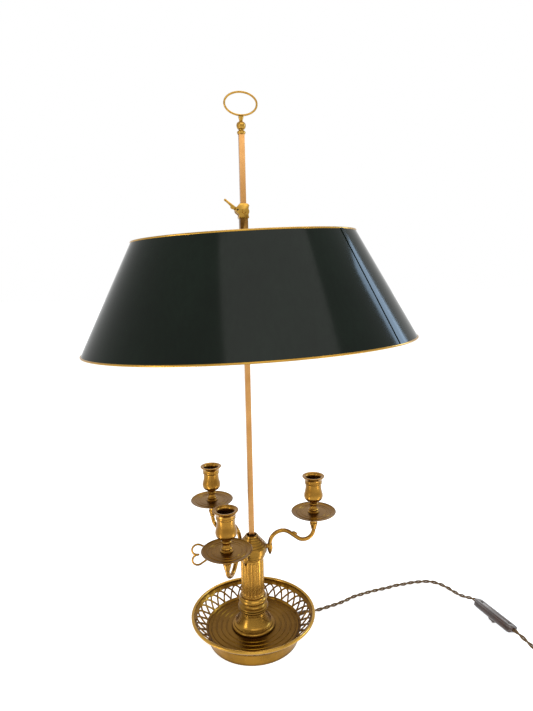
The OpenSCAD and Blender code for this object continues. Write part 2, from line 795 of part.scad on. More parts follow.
// Lead from the splice in the base up through the stem into the cluster
module inner_lead() {
    out = [cos(cord_azimuth), sin(cord_azimuth), 0];
    bend = 6;
    low = 4.2;
    route = concat(
        [[0, 6.4, cluster_z], [0, 3.4, cluster_z + 0], [0, 1.2, cluster_z - 1.4], [0, 0, cluster_z - 5]],
        [[0, 0, cluster_low_z], [0, 0, column_top_z], [0, 0, low + bend]],
        [for (a = [18:18:90]) out * bend * (1 - cos(a)) + [0, 0, low + bend - bend * sin(a)]],
        [out * (splice_in - 17) + [0, 0, low], out * (splice_in - 7) + [0, 0, low + 1.6],
            out * (splice_in - 1) + [0, 0, cord_exit_z], out * (splice_in + 4) + [0, 0, cord_exit_z]]
    );
    color(cord_brown) path_tube(route, lead_d, 8, [0.62, -0.71, 0.33]);
}

// ---------- mains lead, switch and plug ----------

module along_cord_exit() {
    rotate([0, 0, cord_azimuth]) along_x(cord_exit_z) children();
}

// Crimp that joins the cord to the stem lead, in the slot of the ballast
module lead_splice() {
    color("#d8d2c4") along_cord_exit() translate([0, 0, splice_in]) cylinder(r = cord_d / 2 + 1, h = splice_len);
}

module cord_gland() {
    color(bright_brass) along_cord_exit() difference() {
        union() {
            translate([0, 0, gland_in]) cylinder(r = gland_neck_r, h = dish_t + 4);
            translate([0, 0, wall_out]) cylinder(r = gland_flange_r, h = 1.6);
        }
        translate([0, 0, foot_low_r - dish_t - 4]) cylinder(d = cord_d, h = 12);
    }
}

module strain_relief() {
    color(dark_brown) along_cord_exit() difference() {
        union() {
            translate([0, 0, relief_start]) cylinder(r = gland_flange_r - 0.4, h = 2);
            translate([0, 0, relief_start + 2])
                cylinder(r1 = gland_neck_r, r2 = cord_d / 2 + 0.6, h = relief_len - 2);
        }
        translate([0, 0, relief_start - 1]) cylinder(d = cord_d, h = relief_len + 2);
    }
}

module power_cord() {
    color(cord_brown) path_tube(smooth_path(power_route, 3), cord_d, 8, [0, 0, 1]);
}

module cord_tail() {
    color(cord_brown) path_tube(smooth_path(tail_route, 2), cord_d, 8, [0, 0, 1]);
}

// Two layers of turns: in on the table, up a layer as the spiral turns back, and out again
function coil_radius(u) = coil_r - coil_pitch * min(u, coil_turns - u);
function coil_height(u) = cord_d / 2 + coil_layer_h * min(max(u - coil_turns / 2 + 0.25, 0) * 2, 1);
function coil_spiral() = [
    for (i = [0:24 * coil_turns])
        let (u = i / 24, a = 180 + 360 * u)
            [coil_centre[0] + coil_radius(u) * cos(a), coil_centre[1] + coil_radius(u) * sin(a), coil_height(u)]
];
function coil_path() = concat(
    [[coil_centre[0] - coil_r, coil_centre[1] + cord_d, cord_d / 2]], coil_spiral(), coil_end
);
function least_gap(p, apart) = min([
    for (i = [0:len(p) - 1 - apart]) for (j = [i + apart:len(p) - 1]) norm(p[i] - p[j])
]) - cord_d;

module cord_coil() {
    echo(least_gap_in_coil = least_gap(coil_path(), 12));
    echo(power_cord_length = power_length, tail_length = tail_length, coil_length = coil_length);
    color(cord_brown) path_tube(coil_path(), cord_d, 6, [0, 0, 1]);
}

module switch_frame() {
    translate(switch_at) rotate([0, 0, switch_heading]) rotate([90 + switch_tilt, 0, 0]) children();
}

// Outline of the switch from above, as long as the switch
module switch_plan(inset) {
    l = switch_len / 2 - inset;
    w = switch_w / 2 - inset;
    polygon([[-l, -w + 3], [-l + 4, -w], [l - 4, -w], [l, -w + 3], [l, w - 3], [l - 4, w], [-l + 4, w], [-l, w - 3]]);
}

module switch_base() {
    color(dark_brown) switch_frame() difference() {
        linear_extrude(switch_base_t) switch_plan(0);
        for (x = [-1, 1]) {
            translate([x * switch_len * 0.36, 0, -1]) cylinder(r = 1.3, h = switch_base_t + 2);
            translate([x * switch_len * 0.36, 0, -1]) cylinder(r = 2.5, h = 2.4);
        }
        translate([-switch_len, 0, cord_seat]) rotate([0, 90, 0]) cylinder(d = cord_d, h = 2 * switch_len);
    }
}

module switch_cover() {
    l = switch_len / 2;
    w = switch_w / 2;
    z0 = switch_base_t;
    color(dark_brown) switch_frame() difference() {
        intersection() {
            translate([0, 0, z0]) linear_extrude(switch_t - z0) switch_plan(0);
            rotate([90, 0, 0]) translate([0, 0, -w - 1]) linear_extrude(switch_w + 2)
                polygon([[-l, z0], [l, z0], [l, z0 + 4], [l - 3, switch_t - 1.6], [l - 8, switch_t],
                    [-l + 8, switch_t], [-l + 3, switch_t - 1.6], [-l, z0 + 4]]);
            rotate([90, 0, 90]) translate([0, 0, -l - 1]) linear_extrude(switch_len + 2)
                polygon([[-w, z0], [w, z0], [w, switch_t - 2.6], [w - 2.2, switch_t],
                    [-w + 2.2, switch_t], [-w, switch_t - 2.6]]);
        }
        translate([0, rocker_w / 2 + rocker_gap, rocker_pivot])
            rotate([90, 0, 0]) cylinder(r = rocker_r + rocker_gap, h = rocker_w + 2 * rocker_gap);
        translate([0, rocker_w / 2 + 2.4, rocker_pivot])
            rotate([90, 0, 0]) cylinder(r = 1.2 + pin_play, h = rocker_w + 4.8);
        for (x = [-1, 1])
            translate([x * switch_len * 0.36, 0, 0]) cylinder(r = 1.05, h = switch_base_t + 4);
        for (x = [-1, 1])
            translate([x * (l - 5), 0, cord_seat]) rotate([0, 90, 0]) cylinder(d = cord_d, h = 12, center = true);
    }
}

module switch_screws() {
    color(iron) switch_frame() for (x = [-1, 1]) translate([x * switch_len * 0.36, 0, 0]) difference() {
        union() {
            translate([0, 0, 0.2]) cylinder(r = 2.3, h = 1.2);
            translate([0, 0, 1.2]) cylinder(r = 1, h = switch_base_t + 1.8);
        }
        translate([-3, -0.3, -0.5]) cube([6, 0.6, 1.2]);
    }
}

module switch_rocker() {
    color("#3a2418") switch_frame() translate([0, 0, rocker_pivot]) rotate([0, -rocker_swing, 0]) union() {
        difference() {
            translate([0, rocker_w / 2, 0]) rotate([90, 0, 0]) cylinder(r = rocker_r, h = rocker_w);
            translate([0, rocker_w, rocker_r + 14.4]) rotate([90, 0, 0]) cylinder(r = 16, h = 2 * rocker_w);
            translate([-2 * rocker_r, -rocker_w, -3 * rocker_r]) cube([4 * rocker_r, 2 * rocker_w, 2.6 * rocker_r]);
        }
        translate([0, rocker_w / 2 + 2, 0]) rotate([90, 0, 0]) cylinder(r = 1.2, h = rocker_w + 4);
    }
}

module plug_frame() {
    translate(plug_at) rotate([0, 0, 90]) children();
}

module plug_body() {
    w = plug_w / 2;
    h = plug_t / 2;
    color(dark_brown) plug_frame() difference() {
        intersection() {
            translate([0, 0, -h]) linear_extrude(plug_t)
                polygon([[0, -5], [5, -7], [13, -9], [20, -w + 4], [27, -w + 1], [30, -w], [plug_len, -w],
                    [plug_len, w], [30, w], [27, w - 1], [20, w - 4], [13, 9], [5, 7], [0, 5]]);
            rotate([90, 0, 0]) translate([0, 0, -w - 1]) linear_extrude(plug_w + 2)
                polygon([[0, -4.6], [8, -h + 0.6], [14, -h], [plug_len, -h], [plug_len, h], [14, h],
                    [8, h - 0.6], [0, 4.6]]);
            rotate([90, 0, 90]) translate([0, 0, -1]) linear_extrude(plug_len + 2)
                polygon([[-w, -h + 4], [-w + 4, -h], [w - 4, -h], [w, -h + 4], [w, h - 4], [w - 4, h],
                    [-w + 4, h], [-w, h - 4]]);
        }
        translate([-1, 0, 0]) rotate([0, 90, 0]) cylinder(d = cord_d, h = 6);
        for (y = [-1, 1])
            translate([plug_len - 6, y * plug_pin_span / 2, 0]) rotate([0, 90, 0]) cylinder(d = plug_pin_d, h = 8);
    }
}

module plug_pins() {
    color("#c9c6bd") plug_frame() for (y = [-1, 1])
        translate([plug_len - 6, y * plug_pin_span / 2, 0]) rotate([0, 90, 0])
            rotate_extrude($fn = 32)
                polygon([[0, 0], [plug_pin_d / 2, 0], [plug_pin_d / 2, 6 + plug_pin_len - 1.2],
                    [plug_pin_d / 2 - 0.9, 6 + plug_pin_len], [0, 6 + plug_pin_len]]);
}

// ---------- sliding candle branch ----------

// Collar that slides on the stem: neck, band and a ridged dome
module branch_collar() {
    low = collar_low_z;
    shoulder = low + 15.6;
    dome_run = collar_r - 10.4;
    dome_rise = collar_top_z - 2 - shoulder;
    ridges = [
        for (i = [0:4])
            let (f = i / 5, g = (i + 0.55) / 5)
                each [[collar_r - 0.4 - dome_run * f, shoulder + dome_rise * f],
                    [collar_r - 0.2 - dome_run * g, shoulder + dome_rise * g + 0.5],
                    [collar_r - 1.2 - dome_run * g, shoulder + dome_rise * g + 0.3]]
    ];
    color(brass) difference() {
        turned(concat(
            [[0, low], [20.6, low], [21.4, low + 0.8], [21.4, low + 5.4], [collar_r - 0.4, low + 6],
                [collar_r, low + 6.5], [collar_r, shoulder - 0.6]],
            ridges,
            [[10, collar_top_z - 2], [10, collar_top_z - 0.5], [9.4, collar_top_z], [0, collar_top_z]]
        ));
        square_hole(slide_side, low - 1, collar_top_z + 1);
        translate([0, 0, collar_top_z - recess_h]) cylinder(r = recess_r, h = recess_h + 1);
        for (i = [0:2])
            rotate([0, 0, 120 * i]) along_x(key_z)
                translate([0, 0, collar_r - spigot_len]) cylinder(r = spigot_pin_r + 0.02, h = spigot_len + 2);
        rotate([0, 0, 180]) {
            along_x(key_z) cylinder(r = key_screw_r + shoe_play, h = collar_r + 2);
            translate([0, -shoe_side / 2 - shoe_play, key_z - shoe_side / 2 - shoe_play])
                cube([screw_in + shoe_room, shoe_side + 2 * shoe_play, shoe_side + 2 * shoe_play]);
        }
    }
}

// One candle arm, drawn in the plane of its bows and turned to its place
module candle_arm() {
    bow = arc_points(bow_s, bow_z, bow_r, 180, bow_tangent, 10);
    swan = arc_points(swan_s, swan_z, swan_r, bow_tangent + 180, 360, 10);
    line = concat([[root_reach, bow_z - 4]], bow, swan, [[arm_reach, swan_z + 2]]);
    sprout_at = [bow_s + bow_r * cos(bow_tangent), bow_z + bow_r * sin(bow_tangent)];
    color(brass) {
        path_tube([for (q = line) [q[0], 0, q[1]]], arm_d, 12, [0, 1, 0]);
        translate([sprout_at[0], 0, sprout_at[1]]) rotate([0, 90 - bow_tangent - 12, 0])
            translate([4, 0, arm_d / 2 - 1]) rotate([0, 90, 0])
                turned([[0, 0], [1.2, 1], [1.9, 3.4], [1.7, 6], [0.9, 8.6], [0, 10]]);
        translate([root_reach, 0, 0])
            turned([[0, key_z - 15], [1.1, key_z - 13.4], [2.9, key_z - 9], [3.9, key_z - 4.6], [3.7, key_z - 1.5],
                [arm_d / 2 + 0.4, bow_z], [0, bow_z]]);
        along_x(key_z) {
            translate([0, 0, collar_r - spigot_len]) cylinder(r = spigot_pin_r, h = spigot_len + 1);
            translate([0, 0, collar_r]) cylinder(r = 3.3, h = root_reach - collar_r);
        }
        translate([arm_reach, 0, 0])
            turned([[0, swan_z], [arm_d / 2 + 0.5, swan_z], [3.9, swan_z + 1], [3.9, swan_z + 2.4],
                [4.6, swan_z + 5], [5.9, swan_z + 9.6], [5.9, swan_z + 10.6], [5, swan_z + 11.4],
                [5.2, swan_z + 14], [6.4, pan_low_z - 7], [8.8, pan_low_z - 1.2], [8.8, pan_low_z],
                [stud_r, pan_low_z], [stud_r, stud_top_z], [0, stud_top_z]]);
    }
}

// Drip pan with an upturned edge, a bead and a groove
module drip_pan() {
    z = pan_low_z;
    t = pan_top_z;
    color(brass) translate([arm_reach, 0, 0]) turned([
        [stud_r + 0.02, z], [pan_flat_r, z], [pan_r - 2.2, z + 0.7], [pan_r - 0.5, z + pan_edge_h - 1.2],
        [pan_r, z + pan_edge_h - 0.4], [pan_r - 0.4, z + pan_edge_h], [pan_r - 1.2, z + pan_edge_h],
        [pan_r - 2.8, t + 0.6], [pan_flat_r - 0.6, t], [pan_flat_r - 2, t], [pan_flat_r - 2.5, t + 0.6],
        [pan_flat_r - 3.7, t + 0.6], [pan_flat_r - 4.2, t], [22.4, t], [22, t - 0.4], [21, t - 0.4], [20.6, t],
        [stud_r + 0.02, t]
    ]);
}

// Turned candle cup: spool foot, belly, waist with two thin rings, and a flared lip
module candle_cup() {
    z = cup_low_z;
    top = cup_top_z;
    color(brass) translate([arm_reach, 0, 0]) turned(concat(
        [[0, stud_top_z + 0.5], [stud_r + 0.02, stud_top_z + 0.5], [stud_r + 0.02, z], [9.4, z], [9.4, z + 1],
            [7.4, z + 2.4]],
        arc_points(6.6, z + 4.6, 1.7, -60, 60, 4),
        [[6.2, z + 7], [5.4, z + 10], [5.6, z + 12.4]],
        arc_points(6, z + 14.6, 1.9, -60, 60, 4),
        [[6.4, z + 17.2], [9, z + 19.3], [13, z + 21]],
        arc_points(7.4, z + 28, 7.9, -55, 50, 7),
        [[12.9, z + 37], [12.7, top - 18], [13, top - 12.4], [14.4, top - 12], [14.4, top - 11.1],
            [13.2, top - 10.7], [13.4, top - 9.2], [14.8, top - 8.8], [14.8, top - 7.9], [13.9, top - 7.5],
            [14.6, top - 4], [16.2, top - 1.5], [cup_lip_r, top - 0.8], [cup_lip_r, top],
            [candle_bore_r, top], [candle_bore_r, top - candle_bore_depth], [0, top - candle_bore_depth]]
    ));
}

module candle_arm_1() candle_arm();
module candle_arm_2() rotate([0, 0, 120]) candle_arm();
module candle_arm_3() rotate([0, 0, 240]) candle_arm();
module drip_pan_1() drip_pan();
module drip_pan_2() rotate([0, 0, 120]) drip_pan();
module drip_pan_3() rotate([0, 0, 240]) drip_pan();
module candle_cup_1() candle_cup();
module candle_cup_2() rotate([0, 0, 120]) candle_cup();
module candle_cup_3() rotate([0, 0, 240]) candle_cup();

// Brake shoe between the key's screw and the stem
module brake_shoe() {
    color(bright_brass)
        translate([-screw_in, -shoe_side / 2, key_z - shoe_side / 2])
            cube([shoe_t, shoe_side, shoe_side]);
}

// Half outline of the heart: lobe arc of radius r down to the angle last, then a point on the axis
function key_half(r, last, mid) =
    concat(arc_points(lobe_s, lobe_w, r, side_angle + 90, last, key_steps), [[mid, 0]]);
function key_outline(tip, half) =
    concat([[tip, 0]], half, [for (i = [len(half) - 2:-1:0]) [half[i][0], -half[i][1]]]);

// Cast heart on a screw that presses the brake shoe
module heart_key() {
    half_wire = key_wire_d / 2;
    mitre = half_wire / sin(side_angle);
    outer = key_outline(tip_s - mitre, key_half(lobe_r + half_wire, -50, lobe_s + notch_out));
    inner = key_outline(tip_s + mitre, key_half(lobe_r - half_wire, -104, lobe_s - wedge_in));
    rings = [
        for (k = [0:key_sides - 1])
            let (turn = -360 * k / key_sides)
                for (i = [0:len(outer) - 1])
                    let (c = (outer[i] + inner[i]) / 2 + (outer[i] - inner[i]) / 2 * cos(turn))
                        [c[0], c[1], half_wire * sin(turn)]
    ];
    color(brass) rotate([0, 0, 180]) {
        along_x(key_z) turned([
            [0, screw_in], [key_screw_r, screw_in], [key_screw_r, collar_r + 3],
            [half_wire + 1.8, collar_r + 3.2], [half_wire + 1.8, collar_r + 4.4], [half_wire + 0.3, collar_r + 5],
            [half_wire + 0.3, tip_s - 16], [half_wire + 1.8, tip_s - 12], [half_wire + 1.6, tip_s - 9.6],
            [half_wire + 0.3, tip_s - 5], [half_wire + 0.3, tip_s - 1], [0, tip_s - 0.2]
        ]);
        translate([0, 0, key_z]) rotate([90, 0, 0]) ring_of_rings(rings, len(outer), key_sides);
    }
}

// ---------- sliding shade ----------

module shade_frame() {
    translate([0, 0, shade_hub_z]) rotate([0, 0, shade_turn]) rotate([0, -shade_cant, 0]) children();
}

module shade_sleeve() {
    color(old_brass) difference() {
        union() {
            translate([-sleeve_side / 2, -sleeve_side / 2, sleeve_square_z])
                cube([sleeve_side, sleeve_side, sleeve_top_z - sleeve_square_z]);
            translate([0, 0, sleeve_low_z]) cylinder(r = sleeve_round_r, h = sleeve_square_z - sleeve_low_z + 1);
        }
        square_hole(slide_side, sleeve_low_z - 1, sleeve_top_z + 1);
        translate([-sleeve_side, -lever_slot, latch_pin_z - 6.5]) cube([sleeve_side, 2 * lever_slot, 11]);
    }
}

// Leaf-shaped casting round the sleeve; its two cheeks hold the latch pin
module latch_casting() {
    low = clasp_low_z;
    top = sleeve_top_z;
    right = sleeve_side / 2 + 0.9;
    left = latch_pin_x + 3;
    color(bright_brass) difference() {
        union() {
            translate([0, half_clasp, 0]) rotate([90, 0, 0]) linear_extrude(clasp_w)
                polygon([
                    [-sleeve_side / 2 - 1, low], [right - 0.3, low], [right + 0.8, low + 1.6], [right, low + 3.6],
                    [right, low + 6], [right + 1.1, low + 8.6], [right + 1, low + 11.4], [right, low + 13.6],
                    [right + 0.6, low + 16], [right + 1.2, top - 2.6], [right - 0.2, top - 1],
                    [right - 1.4, top], [-right + 1.4, top], [-right - 0.6, top - 2],
                    [-left + 1, latch_pin_z + 3.4], [-left, latch_pin_z + 1.6], [-left, latch_pin_z - 1.8],
                    [-left + 1.4, latch_pin_z - 4], [-right - 0.4, low + 5], [-right - 1, low + 2.4]
                ]);
            translate([0, -half_clasp + 1, low + 10]) rotate([90, 0, 0]) cylinder(r1 = 3.6, r2 = 2.6, h = 2.6);
        }
        square_hole(sleeve_side, low - 1, top + 1);
        translate([-left - 2, -lever_slot, low + 3]) cube([left + 2, 2 * lever_slot, top]);
        translate([-latch_pin_x, half_clasp + 1, latch_pin_z]) rotate([90, 0, 0])
            cylinder(r = latch_pin_r + 0.02, h = clasp_w + 2);
    }
}

module latch_pin() {
    color(iron) translate([-latch_pin_x, half_clasp + 0.4, latch_pin_z]) rotate([90, 0, 0])
        cylinder(r = latch_pin_r, h = clasp_w + 0.8);
}

// Spring washer of the latch, wound round the pin beside the lever, with its leg on the sleeve
module latch_spring() {
    color(iron) translate([0, half_lever, latch_pin_z]) rotate([90, 0, 0]) difference() {
        union() {
            translate([-latch_pin_x, 0, 0]) cylinder(r = spring_r, h = spring_w);
            translate([-latch_pin_x, spring_r - 0.9, 0.2]) cube([latch_pin_x - sleeve_side / 2, 0.8, spring_w - 0.4]);
        }
        translate([-latch_pin_x, 0, -1]) cylinder(r = latch_pin_r + 0.1, h = spring_w + 2);
    }
}

// Brake lever: its toe bites the stem below the pin, its ball end is lifted to let the shade slide
module latch_lever() {
    depth = half_lever + lever_back;
    color(bright_brass) translate([-latch_pin_x, lever_back, latch_pin_z]) rotate([90, 0, 0]) difference() {
        union() {
            cylinder(r = lever_boss_r, h = depth);
            translate([0, -2.8, 0]) cube([latch_pin_x - half_stem - 0.1, 2.6, depth]);
            rotate([0, 0, 180 - lever_slope]) {
                linear_extrude(depth)
                    polygon([[0, -2.9], [6, -2.1], [lever_len - 1, -lever_tip_t / 2],
                        [lever_len - 1, lever_tip_t / 2], [11, 1.8], [9.4, 3.6], [7, 3.8], [5, 2.6], [0, 2.9]]);
                translate([lever_len, 0, depth / 2]) sphere(d = lever_tip_t + 1.2);
            }
        }
        translate([0, 0, -1]) cylinder(r = latch_pin_r + pin_play, h = depth + 2);
    }
}

module spoke(reach, turn) {
    rise = shade_high + sleeve_square_z - bridge_low_z - 0.5;
    rotate([0, 0, turn])
        translate([0, 0, bridge_low_z - shade_hub_z + 2])
            rotate([0, -atan2(rise, reach), 0])
                translate([bridge_hub_r - 4, -spoke_w / 2, -spoke_t / 2])
                    cube([norm([reach, rise]) - bridge_hub_r + 4, spoke_w, spoke_t]);
}

// Carrier: a level hub clamped on the sleeve, and four spokes up to the top rim
module shade_carrier() {
    color(old_brass) difference() {
        union() {
            translate([0, 0, bridge_low_z]) cylinder(r = bridge_hub_r, h = sleeve_square_z - bridge_low_z);
            shade_frame() {
                spoke(shade_top_a - shade_rim_d / 2 + 0.6, 0);
                spoke(shade_top_a - shade_rim_d / 2 + 0.6, 180);
                spoke(shade_top_b - shade_rim_d / 2 + 0.6, 90);
                spoke(shade_top_b - shade_rim_d / 2 + 0.6, 270);
            }
        }
        translate([0, 0, bridge_low_z - 6]) cylinder(r = sleeve_round_r + 0.02, h = 6 + sleeve_square_z - bridge_low_z);
        translate([0, 0, sleeve_square_z]) cylinder(r = bridge_hub_r + 1, h = 8);
        translate([0, 0, bridge_low_z - 8]) cylinder(r = bridge_hub_r + 1, h = 8);
    }
}

module carrier_nut() {
    color(old_brass) difference() {
        translate([0, 0, bridge_low_z - carrier_nut_h]) cylinder(r = bridge_hub_r - 1, h = carrier_nut_h, $fn = 6);
        translate([0, 0, bridge_low_z - carrier_nut_h - 1]) cylinder(r = sleeve_round_r, h = carrier_nut_h + 2);
    }
}

// Point of an oval with half axes a and b, set out by off along its normal
function oval_point(t, a, b, off, z) =
    let (n = [b * cos(t), a * sin(t)] / norm([b * cos(t), a * sin(t)]))
        [a * cos(t) + off * n[0], b * sin(t) + off * n[1], z];

// Sheet cone with a lap seam: going round, each entry is an angle and how far the outer face stands out
module shade_shell() {
    step = 360 / shade_sides;
    seam_end = seam_angle + seam_width;
    before = [for (t = [0:step:seam_angle - 0.5]) [t, 0]];
    after = [for (i = [ceil((seam_end + 0.5) / step):shade_sides - 1]) [i * step, 0]];
    seam = [[seam_angle, 0], [seam_angle + lap_run, shade_t], [seam_end - lap_run, shade_t], [seam_end, 0]];
    around = concat(before, seam, after);
    n = len(around);
    points = concat(
        [for (q = around) oval_point(q[0], shade_top_a, shade_top_b, q[1], shade_high)],
        [for (q = around) oval_point(q[0], shade_bottom_a, shade_bottom_b, q[1], shade_low)],
        [for (q = around) oval_point(q[0], shade_bottom_a, shade_bottom_b, -shade_t, shade_low)],
        [for (q = around) oval_point(q[0], shade_top_a, shade_top_b, -shade_t, shade_high)]
    );
    color(shade_green) shade_frame() ring_of_rings(points, n, 4);
}

// Closed tube made of `count` rings of n points each, the last joined to the first
module ring_of_rings(points, n, count) {
    faces = [
        for (k = [0:count - 1])
            for (i = [0:n - 1])
                let (a = k * n + i, b = k * n + (i + 1) % n, c = (k + 1) % count * n + (i + 1) % n,
                    d = (k + 1) % count * n + i)
                    each [[a, c, b], [a, d, c]]
    ];
    polyhedron(points = points, faces = faces);
}

// Round wire of diameter d bent to an oval
module oval_tube(a, b, z, d, n, sides) {
    points = [
        for (k = [0:sides - 1])
            let (turn = -360 * k / sides)
                for (i = [0:n - 1])
                    oval_point(360 * i / n, a, b, d / 2 * cos(turn), z + d / 2 * sin(turn))
    ];
    ring_of_rings(points, n, sides);
}

module shade_top_rim() {
    color(bright_brass) shade_frame()
        oval_tube(shade_top_a - shade_t / 2, shade_top_b - shade_t / 2, shade_high, shade_rim_d, shade_sides, rim_sides);
}

module shade_bottom_rim() {
    color(bright_brass) shade_frame()
        oval_tube(shade_bottom_a - shade_t / 2, shade_bottom_b - shade_t / 2, shade_low, shade_rim_d, shade_sides,
            rim_sides);
}

base_dish();
pierced_gallery();
gallery_rim();
base_ballast();
base_felt();
column_foot();
fluted_column();
square_stem();
stem_washer();
stem_nut();
stem_knop();
ring_handle();
cluster_body();
cluster_cap();
cluster_screw();
side_tubes();
lamp_holder_right();
lamp_holder_left();
lamp_bulb_right();
lamp_bulb_left();
inner_lead();
lead_splice();
cord_gland();
strain_relief();
power_cord();
switch_base();
switch_cover();
switch_screws();
switch_rocker();
cord_tail();
cord_coil();
plug_body();
plug_pins();
branch_collar();
candle_arm_1();
candle_arm_2();
candle_arm_3();
drip_pan_1();
drip_pan_2();
drip_pan_3();
candle_cup_1();
candle_cup_2();
candle_cup_3();
brake_shoe();
heart_key();
shade_sleeve();
latch_casting();
latch_pin();
latch_spring();
latch_lever();
shade_carrier();
carrier_nut();
shade_shell();
shade_top_rim();
shade_bottom_rim();
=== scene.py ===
import json
import math

import bpy
from mathutils import Matrix, Vector

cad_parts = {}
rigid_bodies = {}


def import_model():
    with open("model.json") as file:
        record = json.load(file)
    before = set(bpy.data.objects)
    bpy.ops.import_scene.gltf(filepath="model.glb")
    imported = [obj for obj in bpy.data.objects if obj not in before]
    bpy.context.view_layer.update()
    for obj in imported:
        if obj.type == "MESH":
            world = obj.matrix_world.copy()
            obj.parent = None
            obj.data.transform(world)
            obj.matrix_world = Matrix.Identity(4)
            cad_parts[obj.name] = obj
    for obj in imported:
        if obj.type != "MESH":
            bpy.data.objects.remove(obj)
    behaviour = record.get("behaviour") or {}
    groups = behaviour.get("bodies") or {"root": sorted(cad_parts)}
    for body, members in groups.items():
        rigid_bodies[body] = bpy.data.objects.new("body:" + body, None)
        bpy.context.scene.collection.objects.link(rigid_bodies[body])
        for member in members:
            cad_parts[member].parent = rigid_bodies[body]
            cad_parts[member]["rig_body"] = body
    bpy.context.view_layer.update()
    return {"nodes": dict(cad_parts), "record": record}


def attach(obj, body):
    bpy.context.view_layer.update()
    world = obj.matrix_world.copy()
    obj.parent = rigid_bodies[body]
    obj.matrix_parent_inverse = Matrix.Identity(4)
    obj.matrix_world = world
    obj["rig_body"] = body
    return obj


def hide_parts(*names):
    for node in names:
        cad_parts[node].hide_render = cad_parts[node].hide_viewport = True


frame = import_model()
nodes = frame["nodes"]
slotOf = {part["node"]: part["material_slot"] for part in frame["record"]["subparts"]}
scene = bpy.context.scene
scene.view_settings.view_transform = "Standard"
print("frame loaded:", len(nodes), "nodes")


# helpers for selecting and editing

def clearSelection():
    if bpy.context.object and bpy.context.object.mode != "OBJECT":
        bpy.ops.object.mode_set(mode="OBJECT")
    bpy.ops.object.select_all(action="DESELECT")


def pick(piece):
    clearSelection()
    piece.select_set(True)
    bpy.context.view_layer.objects.active = piece


def newest(name):
    piece = bpy.context.object
    piece.name = piece.data.name = name
    return piece


def chooseFaces(piece, test):
    pick(piece)
    bpy.ops.object.mode_set(mode="EDIT")
    bpy.ops.mesh.select_mode(type="FACE")
    bpy.ops.mesh.select_all(action="DESELECT")
    bpy.ops.object.mode_set(mode="OBJECT")
    for face in piece.data.polygons:
        face.select = bool(test(face.center))
    bpy.ops.object.mode_set(mode="EDIT")


def applyAll(piece):
    pick(piece)
    bpy.ops.object.transform_apply(location=True, rotation=True, scale=True)
    for modifier in list(piece.modifiers):
        bpy.ops.object.modifier_apply(modifier=modifier.name)


def smooth(piece, degrees):
    pick(piece)
    bpy.ops.object.shade_smooth_by_angle(angle=math.radians(degrees))


def join(pieces, name):
    clearSelection()
    for piece in pieces:
        piece.select_set(True)
    bpy.context.view_layer.objects.active = pieces[0]
    bpy.ops.object.join()
    return newest(name)


# camera, from the fit to the lamp's circles and uprights

cameraPlan = {"place": (-0.1397, -0.7845, 0.5774), "turn": -12.22, "tip": 81.58, "roll": -1.146,
              "lens": 27.013, "film": 36, "near": 0.01}
aim = (Matrix.Rotation(math.radians(cameraPlan["turn"]), 4, "Z")
       @ Matrix.Rotation(math.radians(cameraPlan["tip"]), 4, "X")
       @ Matrix.Rotation(math.radians(cameraPlan["roll"]), 4, "Z"))
bpy.ops.object.camera_add(location=cameraPlan["place"], rotation=aim.to_euler())
camera = bpy.context.object
camera.name = "photoCamera"
camera.data.sensor_width = cameraPlan["film"]
camera.data.lens = cameraPlan["lens"]
camera.data.clip_start = cameraPlan["near"]
scene.camera = camera
print("camera set")


# shader building blocks

fullTurn = 6.283


def linear(hexColour):  # a hex colour in linear values
    parts = [int(hexColour[i:i + 2], 16) / 255 for i in (1, 3, 5)]
    return tuple(c / 12.92 if c <= 0.04045 else ((c + 0.055) / 1.055) ** 2.4 for c in parts) + (1,)


def fill(tree, socket, value):
    if isinstance(value, bpy.types.NodeSocket):
        tree.links.new(value, socket)
    elif isinstance(value, str):
        socket.default_value = linear(value)
    else:
        socket.default_value = value


def add(tree, kind, inputs=None, **settings):
    node = tree.nodes.new("ShaderNode" + kind)
    for key, value in settings.items():
        setattr(node, key, value)
    for key, value in (inputs or {}).items():
        fill(tree, node.inputs[key], value)
    return node


def mixColour(tree, factor, first, second, blend="MIX"):
    node = add(tree, "Mix", data_type="RGBA", blend_type=blend)
    fill(tree, node.inputs[0], factor)
    fill(tree, node.inputs[6], first)
    fill(tree, node.inputs[7], second)
    return node.outputs[2]


def spread(tree, value, low, high, toLow=0.0, toHigh=1.0):
    node = add(tree, "MapRange", {"Value": value, "From Min": low, "From Max": high,
                                  "To Min": toLow, "To Max": toHigh}, interpolation_type="SMOOTHSTEP")
    return node.outputs["Result"]


def calc(tree, operation, first, second=0.0):
    node = add(tree, "Math", operation=operation)
    fill(tree, node.inputs[0], first)
    fill(tree, node.inputs[1], second)
    return node.outputs[0]


def noise(tree, place, scale, detail=3.0, roughness=0.55):
    node = add(tree, "TexNoise", {"Vector": place, "Scale": scale, "Detail": detail, "Roughness": roughness})
    return node.outputs["Fac"]


def newGroup(name, inputs, outputs):
    group = bpy.data.node_groups.new(name, "ShaderNodeTree")
    for label, kind, value in inputs:
        socket = group.interface.new_socket(label, in_out="INPUT", socket_type="NodeSocket" + kind)
        socket.default_value = linear(value) if isinstance(value, str) else value
    for label, kind in outputs:
        group.interface.new_socket(label, in_out="OUTPUT", socket_type="NodeSocket" + kind)
    return group, group.nodes.new("NodeGroupInput").outputs, group.nodes.new("NodeGroupOutput").inputs


def useGroup(tree, group, values):
    node = tree.nodes.new("ShaderNodeGroup")
    node.node_tree = group
    for key, value in values.items():
        fill(tree, node.inputs[key], value)
    return node.outputs


def newMaterial(name, inputs):
    material = bpy.data.materials.new(name)
    material.use_nodes = True
    tree = material.node_tree
    shader = tree.nodes["Principled BSDF"]
    for key, value in inputs.items():
        fill(tree, shader.inputs[key], value)
    return material, tree, shader


def objectPlace(tree):
    return add(tree, "TexCoord").outputs["Object"]


